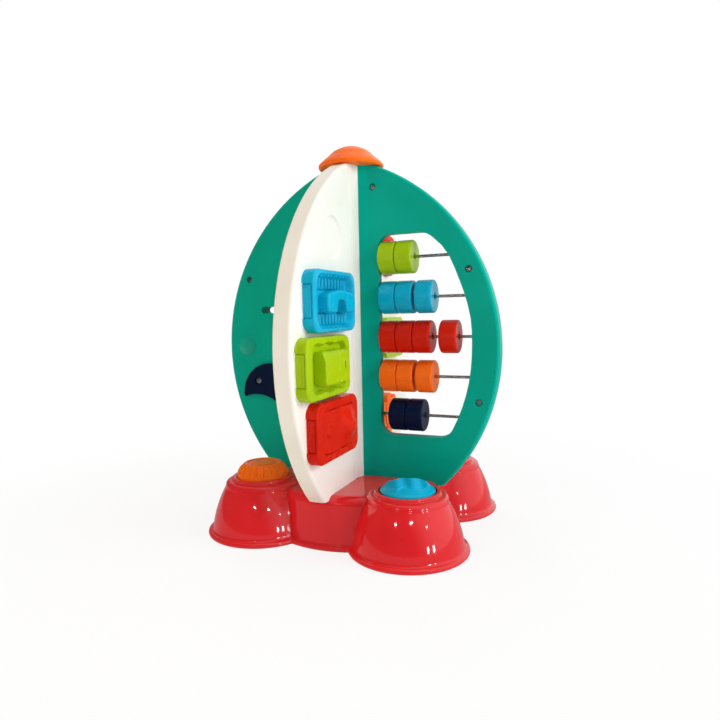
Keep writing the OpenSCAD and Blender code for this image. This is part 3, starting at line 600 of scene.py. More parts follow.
class Skin:
    """Closed surfaces that are gathered into one mesh."""

    def __init__(self) -> None:
        """Start with nothing."""
        self._points: list[np.ndarray] = []
        self._faces: list[list[int]] = []
        self._count = 0

    def add(self, rows: np.ndarray, ends: Ends = Ends.CAPS) -> Skin:
        """Add a surface of rows that are closed round their columns.

        Each face joins neighbours of two rows. With poles, the first and the last row shrink to
        their mean point. The faces are turned if the volume under them comes out negative.

        Args:
            rows: Points, rows by columns by 3, in millimetres.
            ends: How the first and last row are closed.

        Returns:
            This skin.
        """
        first, last = rows[0].mean(0), rows[-1].mean(0)
        if ends is Ends.POLES:
            rows = rows[1:-1]
        n, m = rows.shape[:2]
        index = np.arange(n * m).reshape(n, m)
        if ends is Ends.LOOP:
            index = np.vstack([index, index[:1]])
        beside = np.roll(index, -1, 1)
        quads = np.stack([index[:-1], beside[:-1], beside[1:], index[1:]], -1).reshape(-1, 4)
        points = rows.reshape(-1, 3)
        low, high = index[0], index[-1]
        faces = [quads]
        if ends is Ends.POLES:
            points = np.vstack([points, first, last])
            pole = np.full(m, n * m)
            faces.append(np.stack([np.roll(low, -1), low, pole], -1))
            faces.append(np.stack([high, np.roll(high, -1), pole + 1], -1))
        elif ends is Ends.CAPS:
            faces += [low[None, ::-1], high[None]]
        a, b, c, d = (points[quads[:, k]] for k in range(4))
        volume = (np.cross(a, b) * c).sum() + (np.cross(a, c) * d).sum()
        for ring, tip, way in ((low, first, -1), (high, last, 1)):
            if ends is not Ends.LOOP:
                edge = points[ring]
                volume += way * (np.cross(edge, np.roll(edge, -1, 0)) * tip).sum()
        step = 1 if volume > 0 else -1
        for group in faces:
            self._faces += (group[:, ::step] + self._count).tolist()
        self._points.append(points)
        self._count += len(points)
        return self

    def piece(
        self,
        name: str,
        body: str,
        slot: Slot,
        finishes: Finishes,
        stands_for: tuple[str, ...] = (),
        sharp_deg: float = 35.0,
        level: bool = False,
    ) -> bpy.types.Object:
        """Make the mesh a piece of the board.

        Args:
            name: Name of the piece.
            body: CAD body that it rides on.
            slot: Slot of its finish.
            finishes: The materials.
            stands_for: CAD nodes that it replaces.
            sharp_deg: Edges sharper than this stay crisp.
            level: Whether broad flat faces decide the shading at their edges.

        Returns:
            The object, at the origin.
        """
        mesh = bpy.data.meshes.new(name)
        mesh.from_pydata((np.vstack(self._points) * MM).tolist(), [], self._faces)
        made = as_piece(mesh, body, slot, finishes, stands_for, sharp_deg)
        if level:
            made.modifiers.new("level", "WEIGHTED_NORMAL").keep_sharp = True
        return made


def as_piece(
    mesh: bpy.types.Mesh,
    body: str,
    slot: Slot,
    finishes: Finishes,
    stands_for: tuple[str, ...],
    sharp_deg: float,
) -> bpy.types.Object:
    """Dress a mesh, shade it smooth between its sharp edges and let it ride on a body.

    Args:
        mesh: The mesh, whose name the piece takes.
        body: CAD body that the piece rides on.
        slot: Slot of its finish.
        finishes: The materials.
        stands_for: CAD nodes that it replaces.
        sharp_deg: Edges sharper than this stay crisp.

    Returns:
        The object, at the origin.
    """
    count = len(mesh.polygons)
    mesh.materials.clear()
    mesh.materials.append(finishes[slot])
    mesh.polygons.foreach_set("material_index", np.zeros(count, np.int32))
    mesh.polygons.foreach_set("use_smooth", np.ones(count, bool))
    mesh.set_sharp_from_angle(angle=math.radians(sharp_deg))
    mesh.update()
    made = bpy.data.objects.new(mesh.name, mesh)
    bpy.context.scene.collection.objects.link(made)
    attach(made, body)
    if stands_for:
        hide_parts(*stands_for)
    LOG.info("%s: %d faces on %s", mesh.name, count, body)
    return made


def eased_copy(
    frame: dict,
    node: str,
    slot: Slot,
    finishes: Finishes,
    edge_mm: float,
    reshape: Callable[[np.ndarray], np.ndarray] | None = None,
    sharp_deg: float = 34.0,
) -> bpy.types.Object:
    """Copy a CAD node with its edges eased, as a mould leaves them.

    The copy's doubles are merged and its flat faces joined, and a Bevel modifier rounds every
    sharp edge.

    Args:
        node: Name of the node.
        slot: Slot of its finish.
        finishes: The materials.
        edge_mm: Width of the rounding.
        reshape: What moves the copy's points, in millimetres.
        sharp_deg: Edges that turn more than this are rounded.

    Returns:
        The copy, which replaces the node.
    """
    source = frame["nodes"][node]
    shape = bmesh.new()
    shape.from_mesh(source.data)
    bmesh.ops.remove_doubles(shape, verts=shape.verts[:], dist=3e-6)
    bmesh.ops.dissolve_limit(
        shape, angle_limit=math.radians(0.4), verts=shape.verts[:], edges=shape.edges[:]
    )
    mesh = bpy.data.meshes.new(f"{node}_moulded")
    shape.to_mesh(mesh)
    shape.free()
    if reshape is not None:
        points = np.empty((len(mesh.vertices), 3), np.float32)
        mesh.vertices.foreach_get("co", points.ravel())
        mesh.vertices.foreach_set("co", (reshape(points / MM) * MM).astype(np.float32).ravel())
    made = as_piece(mesh, source["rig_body"], slot, finishes, (node,), sharp_deg)
    bevel = made.modifiers.new("eased", "BEVEL")
    bevel.width, bevel.segments = edge_mm * MM, 2
    bevel.limit_method, bevel.angle_limit = "ANGLE", math.radians(sharp_deg)
    bevel.harden_normals = False
    made.modifiers.new("level", "WEIGHTED_NORMAL").keep_sharp = True
    return made


# Sub-assemblies


@dataclass
class BaseShell:
    """Glossy base: four bell feet with rolled lips, and a lower hub between them.

    The wall is star-shaped about the axis, so it is one surface of reach by bearing and level.
    Rows of lip_fillet are a height over the lip, and how far bells and hub stand out there.
    """

    foot_x: float = 77
    foot_y: float = 64
    foot_r: float = 56
    lip_h: float = 5
    bell_r: float = 51.5
    bulge: float = 2.2
    shoulder_r: float = 37.5
    shoulder_z: float = 47
    shoulder_round: float = 4
    step_z: float = 52.8
    collar_r: float = 30.5
    collar_z: float = 56
    mouth_r: float = 26.7
    wall: float = 3
    hub_r: float = 95.5
    hub_lean: float = 5
    hub_round: float = 9
    hub_z: float = 49
    hub_lip: float = 2
    hub_top_t: float = 4
    lip_fillet: tuple[tuple[float, float, float], ...] = ((0.12, 1.1, 0.5), (0.6, 0.35, 0.15))
    crease: float = 1.6
    columns: int = 1080

    def bell_reach(self, z: np.ndarray) -> np.ndarray:
        """Radius of a bell by height.

        Up to the shoulder it is a straight cone with a parabolic bulge, and above it the arc of
        the shoulder's rounding.

        Args:
            z: Heights.

        Returns:
            Radii.
        """
        t = np.clip((z - self.lip_h) / (self.shoulder_z - self.lip_h), 0, 1)
        cone = self.bell_r + (self.shoulder_r - self.bell_r) * t + 4 * self.bulge * t * (1 - t)
        over = np.clip(z - self.shoulder_z, 0, self.shoulder_round)
        return cone - self.shoulder_round + np.sqrt(self.shoulder_round**2 - over**2)

    def reach(self, bell: np.ndarray, hub: np.ndarray) -> np.ndarray:
        """Distance from the axis to the wall, for each level and bearing.

        The hub is round about the axis, and a bell's reach is where a ray leaves its circle. The
        wall is a soft maximum of the two, the logarithm of summed exponentials, which leaves a
        small fillet in each crease.

        Args:
            bell: Radius of the bells at each level.
            hub: Radius of the hub at each level.

        Returns:
            Reaches, levels by columns.
        """
        bearing = np.linspace(0, 2 * math.pi, self.columns, endpoint=False)
        c, s = np.abs(np.cos(bearing)), np.abs(np.sin(bearing))
        # Symmetry folds all four feet into one quarter.
        along = self.foot_x * c + self.foot_y * s
        across = self.foot_x * s - self.foot_y * c
        inside = bell[:, None] ** 2 - across**2
        foot = np.where(inside > 0, along + np.sqrt(np.maximum(inside, 0)), 0)
        high = np.maximum(hub[:, None], foot)
        low = np.minimum(hub[:, None], foot)
        return high + self.crease * np.log1p(np.exp((low - high) / self.crease))

    def wall_rows(self) -> np.ndarray:
        """Rows of the wall from the ceiling inside, down, round the lip, up and over the top.

        Returns:
            Points, rows by columns by 3, with a pole at each end.
        """
        roll = np.radians(np.linspace(-90, 90, 11))
        half = self.lip_h / 2
        out = half * np.cos(roll) - half
        lip = (self.foot_r + out, self.hub_r + self.hub_lip + out, half + half * np.sin(roll))
        edge_r, edge_z = self.hub_r - self.hub_lean, self.hub_z - self.hub_round
        edge = arc((edge_r - self.hub_round, edge_z), self.hub_round, 5, 90, 16)
        lift, bell_out, hub_out = np.array(self.lip_fillet).T
        n = len(lift)
        low_z = np.linspace(self.lip_h + 1.6, edge[0, 1] - 0.8, 22)
        z = np.concatenate([self.lip_h + lift, low_z, edge[:, 1]])
        lean = self.hub_lean * z[: n + len(low_z)] / edge_z
        hub = np.concatenate([self.hub_r - lean, edge[:, 0]])
        hub[:n] += hub_out
        bell = self.bell_reach(z)
        bell[:n] += bell_out
        ceiling = self.hub_z - self.hub_top_t
        inner_z = np.array([ceiling, ceiling - 0.01, edge_z - 1, 20, self.lip_h, 0.4])
        thin = edge_r - self.wall + np.array([-8, -7, -1, 1.5, 3.5, 4.0])
        inner = (self.bell_reach(inner_z) - self.wall, thin, inner_z)
        levels = [np.concatenate([i, l, w]) for i, l, w in zip(inner, lip, (bell, hub, z))]
        reach = self.reach(levels[0], levels[1])
        share = np.array([0.8, 0.55, 0.3, 0.0])[:, None]
        reach = np.vstack([0 * reach[:1], reach[:1] * 0.5, reach, reach[-1:] * share])
        height = np.concatenate([[ceiling] * 2, levels[2], [self.hub_z] * len(share)])
        bearing = np.linspace(0, 2 * math.pi, self.columns, endpoint=False)
        return np.stack(
            [reach * np.cos(bearing), reach * np.sin(bearing), height[:, None] + 0 * reach], -1
        )

    def collar_rows(self) -> np.ndarray:
        """Rows of a bell's top: a ring profile from the hub's top over the shoulder and the collar.

        Returns:
            Points, rows by columns by 3, joined first to last.
        """
        top, step = self.step_z, self.shoulder_r - self.shoulder_round
        bend = self.shoulder_round + 0.3
        profile = np.vstack([
            [[self.mouth_r, 46.0], [step, 46.0], [step + 2.8, self.hub_z - 0.5]],
            arc((step - 0.6, top - bend), bend, 8, 88, 12),
            arc((self.collar_r + 0.7, top + 0.7), 0.7, 268, 180, 5),
            arc((self.collar_r - 1.1, self.collar_z - 1.1), 1.1, 0, 90, 6),
            arc((self.mouth_r + 0.8, self.collar_z - 0.8), 0.8, 90, 180, 5),
        ])
        return turned(profile, 144)

    def build(self, finishes: Finishes) -> None:
        """Make the base as one piece.

        Args:
            finishes: The materials.
        """
        skin = Skin().add(self.wall_rows(), Ends.POLES)
        collar = self.collar_rows()
        for sx, sy in QUARTERS:
            place = (sx * self.foot_x, sy * self.foot_y, 0)
            skin.add(set_at(collar, Axis.UP, place), Ends.LOOP)
        skin.piece("base_moulding", "root", Slot.BASE, finishes, ("base_shell",), 40)


class Crown(Enum):
    """Top of a button."""

    WAVES = "dome with raised waves"
    FLUTES = "fluted cone with a ringed top"


@dataclass
class PushButton:
    """A push button with its return spring, in a foot.

    Rows of flute_ring are a radius and a depth under the top, from a fluted crown's edge inwards.
    """

    name: str
    sx: int
    sy: int
    crown: Crown
    slot: Slot
    foot_x: float = 77
    foot_y: float = 64
    r: float = 26.0
    skirt_z: float = 53.2
    collar_z: float = 56
    dome_gap: float = 0.7
    dome_h: float = 8
    wave_length: float = 15
    wave_gap: float = 5.0
    wave_rise: float = 2.0
    wave_half: float = 0.85
    wave_sway: float = 1.5
    wave_bearing: float = 23.7
    waves: tuple[float, ...] = (-2.7, -1.7, -0.7, 0.3, 1.3)
    flute_h: float = 13
    flute_top_r: float = 19
    flutes: int = 20
    flute_d: float = 1.1
    flute_ring: tuple[tuple[float, float], ...] = (
        (18.9, 0.75), (18.3, 0.25), (17.5, 0), (15.4, 0), (15.0, 0.2), (14.7, 0.8), (12.4, 0.8),
        (12.1, 0.2), (11.7, 0),
    )
    post_z: float = 34
    spring_r: float = 8.3
    wire_r: float = 0.7
    spring_len: float = 17.7
    coils: int = 7
    travel: float = 4

    def skirt(self, r: float) -> list[list[float]]:
        """Profile of the cap's underside, from the axis to a small bevel at a radius."""
        return [[0, self.skirt_z], [r - 2, self.skirt_z], [r, self.skirt_z + 0.4]]

    def waved(self) -> np.ndarray:
        """Rows of a domed button.

        The dome's height falls off with a power of the radius. Five wavy ridges cross its middle:
        each is a bell curve of the distance across from a sine line, faded out towards the rim.

        Returns:
            Points, rows by columns by 3, with a pole at each end.
        """
        r = self.r - self.dome_gap
        edge = self.collar_z
        rim = [
            [r, edge - 0.6], [r - 0.015, edge - 0.1], [r - 0.125, edge + 0.25],
            [r - 0.35, edge + 0.5],
        ]
        radius = np.linspace(r - 0.7, 0, 72)
        fall = (radius / r) ** 2.3
        dome = np.stack([radius, edge + 0.4 + (self.dome_h - 0.9) * (1 - fall)], -1)
        rows = turned(np.vstack([self.skirt(r), rim, dome]), 220)
        x, y = rows[..., 0], rows[..., 1]
        c, s = math.cos(math.radians(self.wave_bearing)), math.sin(math.radians(self.wave_bearing))
        along, across = x * c + y * s, y * c - x * s
        line = across + self.wave_sway * np.sin(2 * math.pi * along / self.wave_length)
        ridge = sum(
            np.exp(-(((line - self.wave_gap * k) / self.wave_half) ** 2)) for k in self.waves
        )
        fade = np.clip((self.r - 4.5 - np.hypot(x, y)) / 3, 0, 1) * (rows[..., 2] > edge)
        rows[..., 2] += self.wave_rise * ridge * fade
        return rows

    def fluted(self) -> np.ndarray:
        """Rows of a fluted button.

        The side is an arc that leaves the collar upright. Its radius dips by a power of a cosine of
        the bearing, so that narrow grooves run up it, and a ring is sunk in the top.

        Returns:
            Points, rows by columns by 3, with a pole at each end.
        """
        top = self.collar_z + self.flute_h
        lean = self.r - self.flute_top_r
        bow_r = (lean**2 + (self.flute_h - 1) ** 2) / (2 * lean)
        end = math.degrees(math.asin((self.flute_h - 1) / bow_r)) - 6
        profile = np.vstack([
            self.skirt(self.r),
            arc((self.r - bow_r, self.collar_z), bow_r, 0, end, 30),
            np.array(self.flute_ring) * [1, -1] + [0, top],
            np.stack([np.linspace(10.5, 0, 12), np.full(12, top)], -1),
        ])
        rows = turned(profile, 320)
        bearing = np.arctan2(rows[..., 1], rows[..., 0])
        groove = np.clip(np.cos(self.flutes * bearing), 0, 1) ** 4
        z = rows[..., 2]
        zone = np.clip((z - self.collar_z - 2.2) / 1.5, 0, 1)
        zone = zone * np.clip((top - 0.5 - z) / 0.6, 0, 1)
        reach = np.hypot(rows[..., 0], rows[..., 1]) + 1e-9
        rows[..., :2] *= (1 - self.flute_d * groove * zone / reach)[..., None]
        return rows

    def coil(self) -> np.ndarray:
        """Rows of the spring: a circle carried along a helix, square to its path.

        Returns:
            Points, rows by columns by 3.
        """
        share = np.linspace(0, 1, 260)
        turn = 2 * math.pi * self.coils * share
        low, high = self.post_z + self.wire_r, self.post_z + self.spring_len - self.wire_r
        out = np.stack([np.cos(turn), np.sin(turn), 0 * turn], -1)
        path = self.spring_r * out
        path[:, 2] = low + (high - low) * share
        ahead = np.gradient(path, axis=0)
        ahead /= np.linalg.norm(ahead, axis=1, keepdims=True)
        up = np.cross(ahead, out)
        angle = np.linspace(0, 2 * math.pi, 10, endpoint=False)
        ring = np.cos(angle)[:, None] * out[:, None] + np.sin(angle)[:, None] * up[:, None]
        return path[:, None] + self.wire_r * ring

    def build(self, finishes: Finishes) -> None:
        """Make the button and its spring.

        Args:
            finishes: The materials.
        """
        place = (self.sx * self.foot_x, self.sy * self.foot_y, 0)
        rows = self.waved() if self.crown is Crown.WAVES else self.fluted()
        body = f"button_{self.name}"
        Skin().add(set_at(rows, Axis.UP, place), Ends.POLES).piece(
            f"{body}_cap", body, self.slot, finishes, (body,)
        )
        spring = Skin().add(set_at(self.coil(), Axis.UP, place)).piece(
            f"spring_{self.name}_coil", "root", Slot.STEEL, finishes, (f"spring_{self.name}",)
        )
        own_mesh(spring)


@dataclass
class Abacus:
    """Beads on five rods in the window of the right fin."""

    colours: dict[str, tuple[int, Slot]] = field(default_factory=lambda: {
        "lime": (2, Slot.LIME), "blue": (3, Slot.BLUE), "red": (4, Slot.RED),
        "orange": (3, Slot.ORANGE), "navy": (2, Slot.NAVY),
    })
    bead_r: float = 16.25
    bead_len: float = 17
    edge: float = 1.8
    bore_r: float = 1.56

    def bead_rows(self) -> np.ndarray:
        """Rows of a bead along +Z from z = 0: a ring profile with rounded edges and a dished bore.

        Returns:
            Points, rows by columns by 3, joined first to last.
        """
        r, e, n = self.bead_r, self.edge, self.bead_len
        half = np.vstack([
            [[self.bore_r, 1.0], [2.9, 1.0], [3.3, 0.75], [3.5, 0.3], [3.9, 0.0], [9.0, 0.0]],
            arc((r - e, e), e, -90, 0, 7),
            [[r, n * 0.3], [r, n / 2 - 0.35]],
            [[r - 0.12, n / 2]],
        ])
        other = half[-2::-1] * [1, -1] + [0, n]
        return turned(np.vstack([half, other]), 96)

    def build(self, finishes: Finishes) -> None:
        """Make every bead, each on its own body, where its CAD node is.

        Args:
            finishes: The materials.
        """
        rows = self.bead_rows()
        for colour, (count, slot) in self.colours.items():
            for i in range(1, count + 1):
                node = f"bead_{colour}_{i}"
                low, high = (np.array(v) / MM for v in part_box(node))
                place = (low[0], 0.0, (low[2] + high[2]) / 2)
                Skin().add(set_at(rows, Axis.RIGHT, place), Ends.LOOP).piece(
                    f"{node}_turned", node, slot, finishes, (node,), 40, True
                )


@dataclass
class ScrewHeads:
    """Plated pan-head screws with a cross recess, sunk in the fins and in the turning pieces.

    A screw is the radius and height of its head, the radius of its shank and its length. A fin's
    screws are at bearings round the rim's centre, each with its distance in from the rim.
    """

    fin_r: float = 150
    arc_r: float = 195
    mid_z: float = 180
    face: float = 7.8
    fin_screw: tuple[float, float, float, float] = (2.7, 1.4, 1.5, 13.2)
    pivot_screw: tuple[float, float, float, float] = (3.4, 2.4, 2.0, 11)
    bearings: tuple[tuple[float, float], ...] = ((66, 20), (24.5, 12.5), (-16, 12.5))
    pivots: tuple[tuple[Axis, tuple[float, float, float]], ...] = (
        (Axis.FRONT, (-111.5, -13.0, 145)), (Axis.RIGHT, (14.8, 70, 280)),
        (Axis.RIGHT, (16.0, 60, 103)),
    )
    rings: int = 16

    def head(self, r: float, h: float, shank_r: float, length: float) -> np.ndarray:
        """Rows of a screw along +Z with its head's top at z = 0.

        The head's top is slightly domed. The recess is a cross: its depth follows whichever arm is
        nearer, and fades towards the arms' ends.

        Args:
            r: Radius of the head.
            h: Height of the head.
            shank_r: Radius of the shank.
            length: Length over all.

        Returns:
            Points, rows by columns by 3, with a pole at each end.
        """
        n = self.rings
        radius = np.linspace(0, r - 0.5, n)
        profile = np.vstack([
            np.stack([radius, -0.35 * (radius / r) ** 2], -1),
            arc((r - 0.45, -0.75), 0.45, 80, 0, 4),
            [[r, -h], [shank_r, -h], [shank_r, -length], [0, -length]],
        ])
        rows = turned(profile, 64)
        x, y = rows[:n, :, 0], rows[:n, :, 1]
        arm = np.clip((0.75 - np.minimum(np.abs(x), np.abs(y))) / 0.35, 0, 1)
        far = np.hypot(x, y) / (0.62 * r)
        rows[:n, :, 2] -= 1.2 * arm * np.clip((1 - far) * 4, 0, 1)
        return rows

    def build(self, finishes: Finishes) -> None:
        """Make the fin screws as one piece and the pivot screws as another.

        Args:
            finishes: The materials.
        """
        rows = self.head(*self.fin_screw)
        skin = Skin()
        for bearing, inwards in self.bearings:
            at = math.radians(bearing)
            u = self.fin_r - self.arc_r + (self.arc_r - inwards) * math.cos(at)
            z = self.mid_z + (self.arc_r - inwards) * math.sin(at)
            for axis, place in (
                (Axis.FRONT, (u, -self.face, z)), (Axis.FRONT, (-u, -self.face, z)),
                (Axis.LEFT, (-self.face, -u, z)), (Axis.LEFT, (-self.face, u, z)),
            ):
                skin.add(set_at(rows, axis, place), Ends.POLES)
        skin.piece("fin_screws_headed", "root", Slot.STEEL, finishes, ("fin_screws",))
        rows = self.head(*self.pivot_screw)
        skin = Skin()
        for axis, place in self.pivots:
            skin.add(set_at(rows, axis, place), Ends.POLES)
        skin.piece("pivot_screws_headed", "root", Slot.STEEL, finishes, ("pivot_screws",))


class Recess(Enum):
    """Edge of the recess in a front plate."""

    RIBS = "ribs down its sloping upper and lower walls"
    SCALLOPS = "scallops all round"
    PLAIN = "plain all round"


@dataclass
class FrontPlate:
    """A proud plate on the front fin, with a recess for its handle and clips on its sides."""

    node: str
    slot: Slot
    recess: Recess
    y: float
    z: float
    face_x: float = 9
    w: float = 85
    h: float = 54
    t: float = 11
    corner: float = 10
    edge: float = 2.2
    floor: float = 5.4
    bed: float = 7.2
    rib_gap: float = 6.2
    rib_h: float = 3.0
    clip_h: float = 28
    clip_t: float = 8.2
    side: int = 110

    def ribbed(self) -> np.ndarray:
        """Rows of a recess with ribs, from the front face's inner edge to the floor.

        Outlines shrink from row to row, and the height falls in a smooth step. Ribs, a clipped
        cosine of the distance along the side, are added over the slopes above and below the
        handle's bed, which is a raised band.

        Returns:
            Points, rows by columns by 3.
        """
        share = np.linspace(0, 1, 34)
        fall = np.clip(share / 0.3, 0, 1)
        rows = stacked(
            [round_rect(75 - 31 * k, 48 - 32 * k, 11 - 5 * k, self.side) for k in share],
            self.t - (self.t - self.floor) * fall**2 * (3 - 2 * fall),
        )
        a, b = np.abs(rows[..., 0]), np.abs(rows[..., 1])
        slope = np.clip(b - 9.6, 0, 1) * np.clip((22.6 - b) / 1.4, 0, 1)
        slope = slope * np.clip((30 - a) / 2, 0, 1)
        rib = 0.5 + 0.5 * np.clip(2.2 * np.cos(2 * math.pi * a / self.rib_gap), -1, 1)
        under = np.clip((self.t + 0.6 - rows[..., 2]) / 2, 0, 1)
        rows[..., 2] += self.rib_h * rib * slope * under
        bed = self.bed - self.rib_h * np.clip((b - 9.0) / 0.8, 0, 1)
        rows[..., 2] = np.maximum(rows[..., 2], bed)
        return rows

    def scalloped(self) -> np.ndarray:
        """Rows of a recess with scallops, from the front face's inner edge to the floor.

        Scallops move the outlines' points out by a cosine of the distance along each side.

        Returns:
            Points, rows by columns by 3.
        """
        t, floor = self.t, self.floor
        steps = (0, 0.08, 0.25, 0.85, 1)
        loops = [round_rect(68.6 - 1.4 * k, 41.5 - 5.5 * k, 9, self.side) for k in steps]
        for k in range(len(loops) - 1):
            a, b = loops[k].T
            end = np.abs(a) > 33.4
            turn = math.pi * np.where(end, b / 5.2, a / 22)
            out = np.where(end, 1.3, 1.7) * np.abs(np.cos(turn))
            loops[k] = loops[k] * (1 + out / np.hypot(a, b))[:, None]
        return stacked(loops, [t, t - 0.2, t - 0.9, floor + 0.5, floor])

    def plain(self) -> np.ndarray:
        """Rows of a plain recess, whose outlines dip at small knuckles above and below its pin.

        Returns:
            Points, rows by columns by 3.
        """
        t, steps = self.t, (0, 0.15, 0.6, 1, 1)
        loops = [round_rect(66 - 1.2 * k, 39.2 - 0.4 * k, 8 - k, self.side) for k in steps]
        for k, loop in enumerate(loops):
            a, b = loop.T
            knuckle = np.clip((4.5 - np.abs(a)) / 1.2, 0, 1) * (np.abs(b) > 15)
            loops[k] = np.stack([a, b - np.sign(b) * 0.15 * knuckle], -1)
        return stacked(loops, [t, t - 0.15, t - 0.7, t - 1.4, self.floor])

    def rows(self) -> np.ndarray:
        """Rows of the plate: side, rounded front edge, front face, recess and floor.

        On the two upright sides a flange stands out at the foot above and below the clip. Two
        grooves, bell curves of the distance to an outline, run round the clip and inside it.

        Returns:
            Points, rows by columns by 3, where height is the distance from the fin's face.
        """
        e, top = self.edge, self.clip_t
        turn = np.linspace(0, math.pi / 2, 8)[1:]
        side = np.concatenate([[0, 1.6, 2.0, 2.2], np.linspace(3.2, self.t - e, 22)])
        loops = [
            round_rect(self.w - 2 * k, self.h - 2 * k, self.corner - 0.8 * k, self.side)
            for k in (*np.zeros(len(side)), *(e * (1 - np.cos(turn))))
        ]
        rows = stacked(loops, np.concatenate([side, self.t - e + e * np.sin(turn)]))
        wall = rows[: len(side)]
        along, up, out = wall[..., 0], np.abs(wall[..., 1]), wall[..., 2]
        over = np.stack([up - self.clip_h / 2, out - top])
        away = np.hypot(*np.maximum(over, 0)) + np.minimum(over.max(0), 0)
        upright = np.clip((np.abs(along) - self.w / 2 + 3) / 3, 0, 1)
        flange = np.clip((up - self.clip_h / 2 - 0.4) / 0.4, 0, 1)
        flange = flange * np.clip((25 - up) / 3, 0, 1) * (out < 2.1)
        groove = 1.3 * np.exp(-((away / 0.5) ** 2)) + 0.45 * np.exp(-(((away + 2.4) / 0.4) ** 2))
        groove = groove * (np.abs(along) > self.w / 2 - 0.01)
        wall[..., 0] += np.sign(along) * (0.95 * flange * upright - groove)
        inside = {
            Recess.RIBS: self.ribbed, Recess.SCALLOPS: self.scalloped, Recess.PLAIN: self.plain,
        }
        return np.concatenate([rows, inside[self.recess]()])

    def to_fin(self, rows: np.ndarray) -> np.ndarray:
        """Carry rows of along, up and out from the plate's own place to the fin's face."""
        along, up, out = rows[..., 0], rows[..., 1], rows[..., 2]
        return np.stack([self.face_x + out, self.y + along, self.z + up], -1)

    def build(self, finishes: Finishes) -> None:
        """Make the plate as one piece, in its finish."""
        Skin().add(self.to_fin(self.rows())).piece(
            f"{self.node}_tray", "root", self.slot, finishes, (self.node,), 32, True
        )


